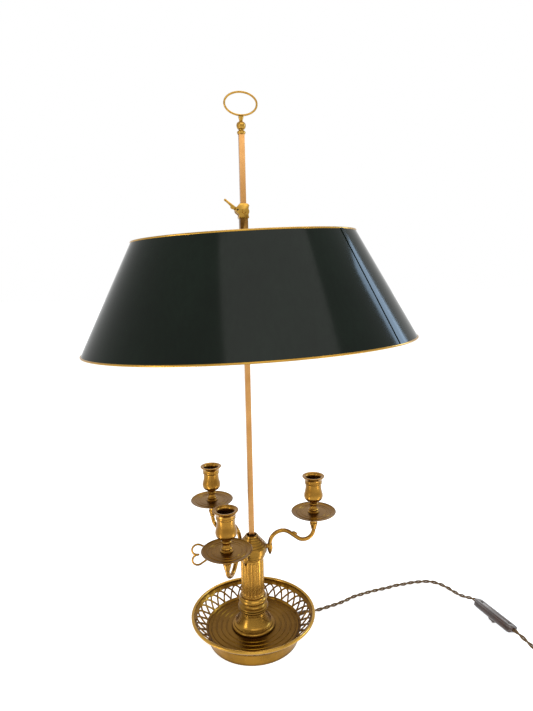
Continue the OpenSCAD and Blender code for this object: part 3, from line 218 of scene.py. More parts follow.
def setBump(tree, shader, height, strength, depth):
    bump = add(tree, "Bump", {"Height": height, "Strength": strength, "Distance": depth})
    fill(tree, shader.inputs["Normal"], bump.outputs["Normal"])


# tarnish in soft clouds, grime and painted shade where faces meet (ambient occlusion darkens the colour
# there), and a fine grain
metalGrain = {
    "speckScale": 900.0, "grimeAndShadeScale": 130.0, "dentScale": 55.0, "speckTint": 0.16, "speckDent": 0.06,
    "cloudRough": 0.14, "grimeAndShadeRough": 0.35, "speckRough": 0.05, "dentDepth": 0.0006, "latheDepth": 0.0002,
}
oldMetal, given, gives = newGroup(
    "oldMetal",
    [("Fresh", "Color", "#c09040"), ("Tarnish", "Color", "#7a5020"), ("GrimeAndShade", "Color", "#241405"),
     ("Clouds", "Float", 40.0), ("Amount", "Float", 0.6), ("Reach", "Float", 0.006),
     ("Crevice", "Float", 0.8), ("Polish", "Float", 0.2)],
    [("Color", "Color"), ("Roughness", "Float"), ("Height", "Float")])
place = objectPlace(oldMetal)
cloud = spread(oldMetal, noise(oldMetal, place, given["Clouds"], 5.0, 0.62), 0.36, 0.68)
cloud = calc(oldMetal, "MULTIPLY", cloud, given["Amount"])
speck = spread(oldMetal, noise(oldMetal, place, metalGrain["speckScale"], 2.0), 0.3, 0.7)
# painted shade: ambient occlusion pulls the colour towards the grime colour where faces meet, so crevices
# hold real grime and painted shade together
creviceGrimeAndShade = add(oldMetal, "AmbientOcclusion", {"Distance": given["Reach"]}, samples=6).outputs["AO"]
creviceGrimeAndShade = calc(oldMetal, "MULTIPLY", spread(oldMetal, creviceGrimeAndShade, 0.85, 0.3), given["Crevice"])
broken = spread(oldMetal, noise(oldMetal, place, metalGrain["grimeAndShadeScale"]), 0.2, 0.6, 0.55, 1.0)
creviceGrimeAndShade = calc(oldMetal, "MULTIPLY", creviceGrimeAndShade, broken)
speckMask = spread(oldMetal, speck, 0.0, 1.0, 0.0, metalGrain["speckTint"])
metalColour = mixColour(oldMetal, cloud, given["Fresh"], given["Tarnish"])
metalColour = mixColour(oldMetal, speckMask, metalColour, given["Tarnish"])
fill(oldMetal, gives["Color"], mixColour(oldMetal, creviceGrimeAndShade, metalColour, given["GrimeAndShade"]))
gloss = given["Polish"]
for mask, share in ((cloud, "cloudRough"), (creviceGrimeAndShade, "grimeAndShadeRough"), (speck, "speckRough")):
    gloss = calc(oldMetal, "ADD", gloss, calc(oldMetal, "MULTIPLY", mask, metalGrain[share]))
fill(oldMetal, gives["Roughness"], gloss)
dents = noise(oldMetal, place, metalGrain["dentScale"], 2.0)
fineDents = calc(oldMetal, "MULTIPLY", speck, metalGrain["speckDent"])
fill(oldMetal, gives["Height"], calc(oldMetal, "ADD", dents, fineDents))

# rings left by the lathe, round the lamp's own axis
latheGrain = {"waveHeight": 0.3, "unevenScale": 420.0}
latheMarks, given, gives = newGroup("latheMarks", [("Spacing", "Float", 0.0012)], [("Height", "Float")])
level = add(latheMarks, "VectorMath", {0: objectPlace(latheMarks), 1: (1, 1, 0)}, operation="MULTIPLY")
radius = add(latheMarks, "VectorMath", {0: level.outputs[0]}, operation="LENGTH").outputs["Value"]
ringCount = calc(latheMarks, "DIVIDE", radius, given["Spacing"])
waves = calc(latheMarks, "SINE", calc(latheMarks, "MULTIPLY", ringCount, fullTurn))
waves = calc(latheMarks, "MULTIPLY", waves, latheGrain["waveHeight"])
outwards = add(latheMarks, "CombineXYZ", {"X": radius}).outputs[0]
uneven = noise(latheMarks, outwards, latheGrain["unevenScale"])
fill(latheMarks, gives["Height"], calc(latheMarks, "ADD", waves, uneven))

# thread wound round a strand, from the piece's own UV map: u goes round, v counts centimetres along
weaveGrain = {"ribs": 12.0, "fuzzScale": 700.0}
threadWeave, given, gives = newGroup(
    "threadWeave", [("Dark", "Color", "#3a2412"), ("Light", "Color", "#a07a3c"), ("Twist", "Float", 3.0)],
    [("Color", "Color"), ("Height", "Float"), ("Roughness", "Float")])
flat = add(threadWeave, "SeparateXYZ", {0: add(threadWeave, "TexCoord").outputs["UV"]}).outputs
alongStrand = calc(threadWeave, "MULTIPLY", flat["Y"], weaveGrain["ribs"])
roundStrand = calc(threadWeave, "MULTIPLY", flat["X"], given["Twist"])
threads = []
for crossing in ("ADD", "SUBTRACT"):  # one set of threads leans each way
    lean = calc(threadWeave, crossing, alongStrand, roundStrand)
    threads.append(calc(threadWeave, "SINE", calc(threadWeave, "MULTIPLY", lean, fullTurn)))
over = spread(threadWeave, calc(threadWeave, "MULTIPLY", threads[0], threads[1]), -0.5, 0.6)
fuzz = noise(threadWeave, objectPlace(threadWeave), weaveGrain["fuzzScale"])
tone = calc(threadWeave, "MULTIPLY", over, spread(threadWeave, fuzz, 0.25, 0.7, 0.4, 1.0))
fill(threadWeave, gives["Color"], mixColour(threadWeave, tone, given["Dark"], given["Light"]))
fill(threadWeave, gives["Height"], over)
fill(threadWeave, gives["Roughness"], spread(threadWeave, fuzz, 0.2, 0.8, 0.6, 0.85))


def wornMetal(name, fresh, tarnish, grimeAndShade, clouds, amount, reach, crevice, polish, dent, lathe=0.0):
    material, tree, shader = newMaterial(name, {"Metallic": 1.0})
    metal = useGroup(tree, oldMetal, {"Fresh": fresh, "Tarnish": tarnish, "GrimeAndShade": grimeAndShade, "Clouds": clouds,
                                      "Amount": amount, "Reach": reach, "Crevice": crevice, "Polish": polish})
    fill(tree, shader.inputs["Base Color"], metal["Color"])
    fill(tree, shader.inputs["Roughness"], metal["Roughness"])
    bump = add(tree, "Bump", {"Height": metal["Height"], "Strength": dent,
                              "Distance": metalGrain["dentDepth"]}).outputs[0]
    if lathe:
        rings = useGroup(tree, latheMarks, {})
        bump = add(tree, "Bump", {"Height": rings["Height"], "Strength": lathe,
                                  "Distance": metalGrain["latheDepth"], "Normal": bump}).outputs[0]
    fill(tree, shader.inputs["Normal"], bump)
    return material


# colours fresh, tarnished, and grimy with painted shade in crevices; clouds' scale and amount;
# crevices' reach and depth; roughness; dents; and lathe marks where there are any
metalPlan = {
    "agedBrass": ("#9c722e", "#74501c", "#2a1503", 22.0, 0.7, 0.007, 0.9, 0.2, 0.22),
    "rubbedBrass": ("#b28a3c", "#8c662a", "#371c05", 30.0, 0.5, 0.004, 0.75, 0.17, 0.15),
    "darkBrass": ("#906a34", "#62431c", "#201004", 24.0, 0.8, 0.006, 0.85, 0.24, 0.25),
    "blackenedSteel": ("#3c3a38", "#2a2725", "#0c0b0a", 60.0, 0.6, 0.004, 0.7, 0.35, 0.4),
    "ballastIron": ("#4c4a48", "#33302d", "#15120f", 90.0, 0.7, 0.008, 0.6, 0.55, 0.9),
    "platedPins": ("#c9c4b8", "#a39d90", "#3a3630", 70.0, 0.4, 0.003, 0.5, 0.18, 0.15),
    "turnedBrass": ("#96702e", "#6a4a1a", "#2a1503", 16.0, 0.7, 0.008, 0.9, 0.2, 0.15, 0.25),
    # drip pans get a darker copy of the aged brass: painted shade for the dark surroundings their tops
    # reflect
    "panBrassPaintedShade": ("#7f5a18", "#644312", "#2a1503", 18.0, 0.7, 0.008, 0.9, 0.22, 0.1),
    "stemBrass": ("#b98a54", "#9c6d3a", "#4a2a10", 14.0, 0.6, 0.003, 0.6, 0.24, 0.08),
    "galleryBrass": ("#86601f", "#5c3d12", "#2a1503", 22.0, 0.8, 0.006, 0.8, 0.22, 0.12),
    "columnBrass": ("#ab8038", "#7e571d", "#4a2b06", 16.0, 0.5, 0.004, 1.0, 0.2, 0.08),
    "dishBrass": ("#9c742c", "#74521b", "#2a1503", 16.0, 0.7, 0.008, 0.9, 0.2, 0.1, 0.2),
}
metals = {name: wornMetal(name, *values) for name, values in metalPlan.items()}
finishes = {
    "aged_brass": metals["agedBrass"], "rubbed_brass": metals["rubbedBrass"],
    "dark_brass": metals["darkBrass"], "blackened_steel": metals["blackenedSteel"],
    "ballast_iron": metals["ballastIron"], "plated_pins": metals["platedPins"],
}

# the floor of the dish, between these two heights and below, is painted darker than its foot wall: painted
# shade standing in for the dark surroundings the floor reflects
dishFloorShade = {"from": 0.0172, "to": 0.0179, "tint": "#bdb48c"}
tree = metals["dishBrass"].node_tree
height = add(tree, "SeparateXYZ", {0: objectPlace(tree)}).outputs["Z"]
shader = tree.nodes["Principled BSDF"]
bright = shader.inputs["Base Color"].links[0].from_socket
# painted shade: the dish's brass is multiplied darker on its floor
floorPaintedShade = mixColour(tree, 1.0, bright, dishFloorShade["tint"], blend="MULTIPLY")
onFloor = spread(tree, height, dishFloorShade["from"], dishFloorShade["to"])
fill(tree, shader.inputs["Base Color"], mixColour(tree, onFloor, bright, floorPaintedShade))

# lacquer of the shade: deep green, a little uneven, with the faint drag of a brush along its height
lacquer = {"deep": "#0e170f", "pale": "#141f16", "drag": "#0a100a", "patchScale": 9.0, "stretch": (60, 60, 3),
           "dragScale": 3.0, "dragShare": 0.3, "smoothest": 0.1, "roughest": 0.15}
shadePaint, tree, shader = newMaterial("shadePaint", {"Specular IOR Level": 0.12})
place = objectPlace(tree)
stretched = add(tree, "Mapping", {"Vector": place, "Scale": lacquer["stretch"]}).outputs[0]
drag = noise(tree, stretched, lacquer["dragScale"], 4.0)
patch = spread(tree, noise(tree, place, lacquer["patchScale"], 4.0), 0.3, 0.7)
paint = mixColour(tree, patch, lacquer["deep"], lacquer["pale"])
dragMask = spread(tree, drag, 0.3, 0.7, 0.0, lacquer["dragShare"])
fill(tree, shader.inputs["Base Color"], mixColour(tree, dragMask, paint, lacquer["drag"]))
dragGloss = spread(tree, drag, 0.2, 0.8, lacquer["smoothest"], lacquer["roughest"])
fill(tree, shader.inputs["Roughness"], dragGloss)
setBump(tree, shader, drag, 0.02, 0.0005)
finishes["shade_paint"] = shadePaint

# inside of the shade: warm white paint, dusty and yellowed towards the top
insidePaint = {"clean": "#d8d0b8", "stained": "#b39c6c", "stainFrom": 0.5, "stainTo": 0.64,
               "grainScale": 260.0}
shadeInside, tree, shader = newMaterial("shadeInside", {"Roughness": 0.6})
place = objectPlace(tree)
height = add(tree, "SeparateXYZ", {0: place}).outputs["Z"]
stain = calc(tree, "MULTIPLY", spread(tree, height, insidePaint["stainFrom"], insidePaint["stainTo"]),
             spread(tree, noise(tree, place, 20.0, 4.0), 0.2, 0.7))
fill(tree, shader.inputs["Base Color"], mixColour(tree, stain, insidePaint["clean"], insidePaint["stained"]))
setBump(tree, shader, noise(tree, place, insidePaint["grainScale"]), 0.12, 0.0004)

# woven cover of the mains lead
cordTextile, tree, shader = newMaterial("cordTextile", {"Sheen Weight": 0.25, "Sheen Roughness": 0.4})
weave = useGroup(tree, threadWeave, {"Dark": "#38220f", "Light": "#a57d3e", "Twist": 3.0})
fill(tree, shader.inputs["Base Color"], weave["Color"])
fill(tree, shader.inputs["Roughness"], weave["Roughness"])
setBump(tree, shader, weave["Height"], 0.6, 0.0003)
finishes["cord_textile"] = cordTextile


def plastic(name, base, shade, rough, coat, grain):
    material, tree, shader = newMaterial(name, {"Coat Weight": coat, "Coat Roughness": 0.12})
    place = objectPlace(tree)
    patch = spread(tree, noise(tree, place, 60.0, 4.0), 0.3, 0.7)
    skin = noise(tree, place, 1500.0, 2.0)
    wear = noise(tree, place, 200.0)
    fill(tree, shader.inputs["Base Color"], mixColour(tree, patch, base, shade))
    fill(tree, shader.inputs["Roughness"], spread(tree, wear, 0.3, 0.7, rough, rough + 0.1))
    setBump(tree, shader, skin, grain, 0.0002)
    return material


# two colours, roughness, coat and grain
finishes["holder_plastic"] = plastic("holderPlastic", "#3a2416", "#2c1a0f", 0.35, 0.1, 0.1)
finishes["brown_plastic"] = plastic("brownPlastic", "#3b2014", "#2a160d", 0.24, 0.35, 0.08)
finishes["splice_plastic"] = plastic("splicePlastic", "#cfc8b8", "#b8b09c", 0.45, 0.0, 0.1)

# felt under the base
feltCloth, tree, shader = newMaterial("feltCloth", {"Roughness": 0.95, "Sheen Weight": 0.4})
wool = noise(tree, objectPlace(tree), 1100.0, 4.0, 0.7)
fill(tree, shader.inputs["Base Color"], mixColour(tree, spread(tree, wool, 0.3, 0.7), "#2b3a2a", "#4c5f45"))
setBump(tree, shader, wool, 0.7, 0.0006)
finishes["green_felt"] = feltCloth

# opal candle bulbs, with the turned metal cap where they enter the holders
bulb = {"capEdge": 0.0735, "cap": "#9a8048", "pearl": "#efe6d0", "shaded": "#e2d6b8"}
bulbGlass, tree, shader = newMaterial(
    "bulbGlass", {"Subsurface Weight": 0.2, "Coat Weight": 0.6, "Coat Roughness": 0.05})
place = objectPlace(tree)
along = calc(tree, "ABSOLUTE", add(tree, "SeparateXYZ", {0: place}).outputs["X"])
glassPart = calc(tree, "GREATER_THAN", along, bulb["capEdge"])
opal = mixColour(tree, spread(tree, noise(tree, place, 30.0), 0.3, 0.7), bulb["pearl"], bulb["shaded"])
fill(tree, shader.inputs["Base Color"], mixColour(tree, glassPart, bulb["cap"], opal))
fill(tree, shader.inputs["Metallic"], calc(tree, "SUBTRACT", 1.0, glassPart))
fill(tree, shader.inputs["Roughness"], spread(tree, noise(tree, place, 150.0), 0.3, 0.7, 0.18, 0.3))
finishes["bulb_glass"] = bulbGlass

special = {  # nodes whose own brass differs from their slot's
    "base_dish": metals["dishBrass"], "column_foot": metals["turnedBrass"],
    "branch_collar": metals["turnedBrass"], "pierced_gallery": metals["galleryBrass"],
    "fluted_column": metals["columnBrass"], "square_stem": metals["stemBrass"],
    "drip_pan_1": metals["panBrassPaintedShade"], "drip_pan_2": metals["panBrassPaintedShade"], "drip_pan_3": metals["panBrassPaintedShade"],
}
for name, node in nodes.items():  # every node gets its finish, also those that a piece replaces below
    material = special.get(name, finishes[slotOf[name]])
    if not node.material_slots:
        node.data.materials.append(material)
    for holder in node.material_slots:
        holder.material = material
print("finishes made:", len(bpy.data.materials))


def settle(piece, *nodeNames):  # a new piece takes the finish of the first node it stands for, chosen by that node's slot, and its body
    if not piece.data.materials:
        piece.data.materials.append(special.get(nodeNames[0], finishes[slotOf[nodeNames[0]]]))
    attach(piece, nodes[nodeNames[0]]["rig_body"])
    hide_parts(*nodeNames)
    return piece


# mains lead: a twisted pair from the base through the inline switch to the coil and the plug

cordPlan = {
    "across": 0.006, "strand": 0.00145, "strandAt": 0.00157, "lay": 0.030, "sides": 8, "step": 0.0019,
    "lying": 3, "spotsToSwitch": 3, "spotsFromSwitch": 2, "soft": 70,
    "toSwitch": [  # the solids' own route, in millimetres
        (60, 16, 7.5), (73.5, 19.7, 7.5), (91, 24.4, 7.5), (103, 27.4, 5.6), (114, 29.4, 3.6),
        (128, 32.5, 3), (142, 35.6, 3), (160, 39.7, 3), (176, 45, 3), (193, 52, 3), (209, 55.4, 3),
        (228, 59, 3), (246, 61.3, 3), (265, 63, 3), (281, 66, 3), (299, 66.4, 3), (315, 67.4, 3),
        (333, 66, 3), (349, 62.5, 3), (361.6, 53, 3), (370, 39, 3), (375.5, 23, 3), (380, 8, 4.2),
        (383.6, -5, 8), (386.5, -15, 11.8), (388.2, -23, 13.5), (389.3, -31, 13.7)],
    "fromSwitch": [
        (399.2, -105.6, 13.7), (400.9, -114, 13.6), (404.2, -124, 11), (408, -134, 7.2), (411.6, -145, 4.2),
        (414.6, -156, 3.1), (416.4, -168, 3), (417, -180, 3), (417, -192, 3)],
    "coilAt": (457, -198), "coilRadius": 40, "coilPitch": 6.5, "coilLayer": 6.5, "turns": 6.5,
    "coilSteps": 24, "coilStartOff": 6, "climb": 0.5,
    "coilEnd": [(497, -190, 9.5), (497, -182, 9), (497, -172, 7.9), (497, -164, 7.1), (497, -154, 6.9)],
    "leavesBase": (0.0735, 0.0197, 0.0075),
}


def curvePoint(a, b, c, d, t):
    bend, twist = 2 * a - 5 * b + 4 * c - d, 3 * b - a - 3 * c + d
    return 0.5 * (2 * b + (c - a) * t + bend * t * t + twist * t * t * t)


def smoothPath(points, count):
    spots = [Vector(p) for p in points]
    last = len(spots) - 1
    made = [curvePoint(spots[max(i - 1, 0)], spots[i], spots[i + 1], spots[min(i + 2, last)], j / count)
            for i in range(last) for j in range(count)]
    return made + [spots[last]]


def coilPath(plan):  # winds in on the table, climbs, and winds out again on top
    (x, y), steps, turns = plan["coilAt"], plan["coilSteps"], plan["turns"]
    made = [Vector((x - plan["coilRadius"], y + plan["coilStartOff"], plan["lying"]))]
    for i in range(int(steps * turns) + 1):
        u = i / steps
        turn = math.radians(180 + 360 * u)
        reach = plan["coilRadius"] - plan["coilPitch"] * min(u, turns - u)
        climbed = max(u - (turns - plan["climb"]) / 2, 0) / plan["climb"]
        rise = plan["coilLayer"] * min(climbed, 1)
        made.append(Vector((x + reach * math.cos(turn), y + reach * math.sin(turn), plan["lying"] + rise)))
    return made + [Vector(p) for p in plan["coilEnd"]]


def evenly(points, step):
    made, left = [points[0]], step
    for a, b in zip(points, points[1:]):
        span, done = (b - a).length, 0.0
        while span - done > left:
            done += left
            made.append(a.lerp(b, done / span))
            left = step
        left -= span - done
    return made


def twistedPair(name, points, plan):
    spots, faces, wraps = [], [], []
    sides = plan["sides"]
    for strand in (0, 1):
        first = len(spots)
        for i, p in enumerate(points):
            ahead = (points[min(i + 1, len(points) - 1)] - points[max(i - 1, 0)]).normalized()
            u = Vector((0, 0, 1)).cross(ahead).normalized()
            w = ahead.cross(u)
            twist = 2 * math.pi * i * plan["step"] / plan["lay"] + strand * math.pi
            middle = p + (u * math.cos(twist) + w * math.sin(twist)) * plan["strandAt"]
            for k in range(sides):
                turn = 2 * math.pi * k / sides
                spots.append(middle + (u * math.cos(turn) + w * math.sin(turn)) * plan["strand"])
        for i in range(len(points) - 1):
            for k in range(sides):
                a, b = first + i * sides + k, first + i * sides + (k + 1) % sides
                faces.append((a, b, b + sides, a + sides))
                low, high = i * plan["step"] * 100, (i + 1) * plan["step"] * 100  # centimetres
                left, right = k / sides, (k + 1) / sides
                wraps += [(left, low), (right, low), (right, high), (left, high)]
        end = first + (len(points) - 1) * sides
        faces += [tuple(first + k for k in reversed(range(sides))), tuple(end + k for k in range(sides))]
        wraps += [(0.5, 0.0)] * (2 * sides)
    mesh = bpy.data.meshes.new(name)
    mesh.from_pydata(spots, [], faces)
    layer = mesh.uv_layers.new(name="along")
    for spot, wrap in zip(layer.data, wraps):
        spot.uv = wrap
    piece = bpy.data.objects.new(name, mesh)
    scene.collection.objects.link(piece)
    return piece


wholeRoute = smoothPath(cordPlan["toSwitch"], cordPlan["spotsToSwitch"])
wholeRoute += smoothPath(cordPlan["fromSwitch"], cordPlan["spotsFromSwitch"])[:-1] + coilPath(cordPlan)
wholeRoute = evenly([p / 1000 for p in wholeRoute], cordPlan["step"])
mainsLead = twistedPair("mains_lead", wholeRoute, cordPlan)
smooth(mainsLead, cordPlan["soft"])
settle(mainsLead, "power_cord", "cord_tail", "cord_coil")


# a copy of a node's mesh, welded, with its edges eased and its curves shaded smooth

easing = {"weld": 0.00002, "flat": 1.0, "steps": 2, "softFrom": 35}


def easedCopy(name, nodeName, bevel, angle, swell=0.0):
    piece = bpy.data.objects.new(name, nodes[nodeName].data.copy())
    scene.collection.objects.link(piece)
    piece.data.materials.clear()
    pick(piece)
    bpy.ops.object.mode_set(mode="EDIT")
    bpy.ops.mesh.select_all(action="SELECT")
    bpy.ops.mesh.remove_doubles(threshold=easing["weld"])
    bpy.ops.mesh.dissolve_limited(angle_limit=math.radians(easing["flat"]))
    bpy.ops.object.mode_set(mode="OBJECT")
    if bevel:
        eased = piece.modifiers.new("eased", "BEVEL")
        eased.width, eased.segments, eased.limit_method = bevel, easing["steps"], "ANGLE"
        eased.angle_limit = math.radians(angle)
    if swell:
        fuller = piece.modifiers.new("fuller", "DISPLACE")
        fuller.strength, fuller.mid_level = swell, 0.0
    applyAll(piece)
    smooth(piece, max(angle, easing["softFrom"]))
    return settle(piece, nodeName)


# shade: a sheet cone with a lap seam, painted inside and out, and two rolled brass rims

shadePlan = {
    "hub": 0.630, "turn": -10, "cant": 2.2, "topHalf": (0.163, 0.120), "lowHalf": (0.248, 0.183),
    "high": 0.005, "low": -0.152, "sheet": 0.0009, "rim": 0.005, "seam": 322, "lap": 2.6, "around": 277,
    "bite": 0.0002, "edgeFrom": 0.9, "soft": 30,
}
shadePlace = (Matrix.Translation((0, 0, shadePlan["hub"]))
              @ Matrix.Rotation(math.radians(shadePlan["turn"]), 4, "Z")
              @ Matrix.Rotation(math.radians(-shadePlan["cant"]), 4, "Y"))


def makeShade(plan):
    sheet, bite, top, bottom = plan["sheet"], plan["bite"], plan["topHalf"], plan["lowHalf"]
    bpy.ops.mesh.primitive_circle_add(vertices=plan["around"], radius=1, fill_type="NOTHING",
                                      rotation=(0, 0, math.radians(plan["seam"] - 90)))  # starts at the seam
    cone = newest("shade_cone")
    applyAll(cone)
    cone.scale = (*top, 1)
    cone.location.z = plan["high"]
    applyAll(cone)
    bpy.ops.object.mode_set(mode="EDIT")
    bpy.ops.mesh.select_all(action="SELECT")
    bpy.ops.mesh.extrude_region_move(TRANSFORM_OT_translate={"value": (0, 0, plan["low"] - plan["high"])})
    bpy.ops.transform.resize(value=(bottom[0] / top[0], bottom[1] / top[1], 1),
                             center_override=(0, 0, plan["low"]))
    bpy.ops.mesh.select_all(action="SELECT")
    bpy.ops.mesh.normals_make_consistent(inside=False)
    bpy.ops.object.mode_set(mode="OBJECT")
    halves = [(a + b) / 2 for a, b in zip(top, bottom)]

    def onSeam(centre):
        turn = math.degrees(math.atan2(centre.y / halves[1], centre.x / halves[0])) % 360
        return plan["seam"] < turn < plan["seam"] + plan["lap"]

    chooseFaces(cone, onSeam)
    bpy.ops.mesh.duplicate()
    bpy.ops.mesh.separate(type="SELECTED")
    bpy.ops.object.mode_set(mode="OBJECT")
    lap = [o for o in bpy.context.selected_objects if o != cone][0]
    for piece, thick, offset in ((cone, sheet, -1), (lap, sheet + bite, (sheet - bite) / (sheet + bite))):
        wall = piece.modifiers.new("wall", "SOLIDIFY")
        wall.thickness, wall.offset = thick, offset
        applyAll(piece)
    for paint in (shadePaint, shadeInside):
        cone.data.materials.append(paint)
    for face in cone.data.polygons:  # faces that look inwards, apart from the sheet's edges
        inwards = face.normal.x * face.center.x + face.normal.y * face.center.y < 0
        if inwards and abs(face.normal.z) < plan["edgeFrom"]:
            face.material_index = 1
    lap.data.materials.append(shadePaint)
    shell = join([cone, lap], "shade_sheet")
    shell.matrix_world = shadePlace
    applyAll(shell)
    smooth(shell, plan["soft"])
    return shell


wireShape = {"roundness": 4, "smoothness": 36, "soft": 60}


def ovalWire(name, halves, thick, where):
    bpy.ops.curve.primitive_bezier_circle_add(radius=1)
    wire = newest(name)
    wire.scale = (*halves, 1)
    bpy.ops.object.transform_apply(location=True, rotation=True, scale=True)
    wire.data.bevel_depth, wire.data.bevel_resolution = thick / 2, wireShape["roundness"]
    wire.data.resolution_u = wireShape["smoothness"]
    bpy.ops.object.convert(target="MESH")
    wire = newest(name)
    wire.matrix_world = where
    applyAll(wire)
    smooth(wire, wireShape["soft"])
    return wire


settle(makeShade(shadePlan), "shade_shell")
for name, half, level, nodeName in (("shade_rim_high", "topHalf", "high", "shade_top_rim"),
                                    ("shade_rim_low", "lowHalf", "low", "shade_bottom_rim")):
    middleLine = [h - shadePlan["sheet"] / 2 for h in shadePlan[half]]
    rimPlace = shadePlace @ Matrix.Translation((0, 0, shadePlan[level]))
    settle(ovalWire(name, middleLine, shadePlan["rim"], rimPlace), nodeName)
print("shade made")

# oval ring on top, and the leafy knop under it

handlePlan = {"halves": (0.02325, 0.01555), "wire": 0.005, "middle": 0.81935}
upright = Matrix.Translation((0, 0, handlePlan["middle"])) @ Matrix.Rotation(math.pi / 2, 4, "X")
settle(ovalWire("lifting_ring", handlePlan["halves"], handlePlan["wire"], upright), "ring_handle")

knopPlan = {
    "around": 72, "soft": 40, "leaves": 6, "lift": 0.10, "leafLow": 0.7855, "leafHigh": 0.7955,
    "outline": [  # radius and height in millimetres
        (2.5, 766), (2.5, 777.9), (5.2, 778), (5.8, 779), (6.2, 780.3), (5.8, 781.6), (4.8, 782.4),
        (3.4, 783.2), (3.6, 784.2), (4.8, 784.9), (5.9, 786.2), (6.5, 788), (6.8, 790), (6.5, 791.8),
        (5.8, 793.2), (4.7, 794.2), (3.5, 795), (2.6, 796), (2.9, 798), (4, 801.6)],
}


def turnedPiece(name, plan, at=(0.0, 0.0)):
    outline = [(r / 1000, z / 1000) for r, z in plan["outline"]]
    bpy.ops.mesh.primitive_circle_add(vertices=plan["around"], radius=outline[0][0], fill_type="NGON",
                                      location=(*at, outline[0][1]))
    piece = newest(name)
    applyAll(piece)
    bpy.ops.object.mode_set(mode="EDIT")
    bpy.ops.mesh.select_all(action="SELECT")
    for (r, z), (nextR, nextZ) in zip(outline, outline[1:]):
        bpy.ops.mesh.extrude_region_move(TRANSFORM_OT_translate={"value": (0, 0, nextZ - z)})
        bpy.ops.transform.resize(value=(nextR / r, nextR / r, 1), center_override=(*at, nextZ))
    bpy.ops.mesh.select_all(action="SELECT")
    bpy.ops.mesh.normals_make_consistent(inside=False)
    bpy.ops.object.mode_set(mode="OBJECT")
    return piece


def leafy(piece, plan):
    middle, half = (plan["leafLow"] + plan["leafHigh"]) / 2, (plan["leafHigh"] - plan["leafLow"]) / 2
    for spot in piece.data.vertices:
        share = 1 - min(abs(spot.co.z - middle) / half, 1) ** 2
        turn = math.atan2(spot.co.y, spot.co.x)
        swell = 1 + plan["lift"] * share * (abs(math.cos(turn * plan["leaves"] / 2)) - 1)
        spot.co.x, spot.co.y = spot.co.x * swell, spot.co.y * swell
    return piece


knop = leafy(turnedPiece("leaf_knop", knopPlan), knopPlan)
smooth(knop, knopPlan["soft"])
settle(knop, "stem_knop")
print("ring and knop made")

# turned candle cups: a lip that flares out of the waist, two fine rings, a round belly and a spool foot

cupPlan = {
    "around": 96, "soft": 32, "reach": 103, "apart": 120, "names": ("cup_a", "cup_b", "cup_c"),
    "outline": [
        (3.02, 199.2), (9.0, 199.2), (9.4, 199.5), (9.4, 200.2), (8.0, 201), (7.2, 201.8), (7.6, 202.6),
        (8.2, 203.5), (8.2, 204.4), (7.4, 205.4), (6.4, 206.2), (5.8, 208.4), (5.5, 210.4), (5.8, 212),
        (7.2, 212.9), (7.7, 213.8), (7.2, 214.7), (6.3, 215.6), (6.8, 216.8), (9.2, 218.4), (11.9, 219.9),
        (13.9, 222), (15, 224.6), (15.3, 227.2), (15.1, 229.8), (14.4, 232.6), (13.5, 235.8), (12.9, 239),
        (12.7, 242), (12.8, 245), (13.1, 247.2), (13.5, 247.6), (13.8, 248.1), (13.5, 248.6), (13.2, 248.8),
        (13.3, 250.2), (13.7, 250.5), (14.1, 251), (13.8, 251.5), (13.7, 251.8), (14.1, 253.6), (15, 255.8),
        (16.3, 257.5), (17.4, 258.5), (17.8, 259.2), (17.7, 259.8), (17.1, 260.15), (16.2, 260.2),
        (14.6, 260), (13.2, 259.4), (12, 258.2), (11.4, 256.4), (11.2, 254), (11.2, 228.3), (10.8, 228),
        (3.02, 228)],
}
for i, name in enumerate(cupPlan["names"]):
    turn = math.radians(cupPlan["apart"] * i)
    centre = (cupPlan["reach"] / 1000 * math.cos(turn), cupPlan["reach"] / 1000 * math.sin(turn))
    cup = turnedPiece(name, cupPlan, centre)
    smooth(cup, cupPlan["soft"])
    settle(cup, "candle_cup_" + str(i + 1))

# turned foot of the column: ring, bell and rolls under the shaft

footPlan = {
    "around": 120, "soft": 30,
    "outline": [
        (3.8, 18), (34.3, 18), (35, 18.4), (35.3, 19.4), (35.2, 20.6), (34.6, 21.8), (33.6, 22.6),
        (32.2, 22.9), (32, 23.3), (32.2, 24), (31.8, 24.9), (30.9, 25.5), (29.4, 25.9), (28.6, 26.6),
        (27.2, 28.6), (25.7, 31.2), (24.2, 34.2), (22.7, 37.6), (21.4, 41), (20.5, 44), (20, 46.2),
        (20.2, 47.2), (22.2, 47.6), (23.1, 48.3), (23.6, 49.3), (23.6, 50), (23.1, 51), (22, 51.6),
        (21.6, 51.9), (22.4, 52.4), (23.4, 53.1), (23.9, 54), (23.5, 55), (22.4, 55.7), (20.4, 56.4),
        (19, 58), (18.3, 60), (18.6, 61.6), (20.6, 62.4), (22.2, 63.6), (23, 65.2), (22.9, 66.8),
        (22, 68.4), (20.8, 69.3), (20.4, 70), (20.4, 72)],
}
foot = turnedPiece("turned_foot", footPlan)
smooth(foot, footPlan["soft"])
settle(foot, "column_foot")
print("cups and foot made")

# cast, drawn, sawn and moulded pieces: name, node, width of the eased edges, from which angle, and swell

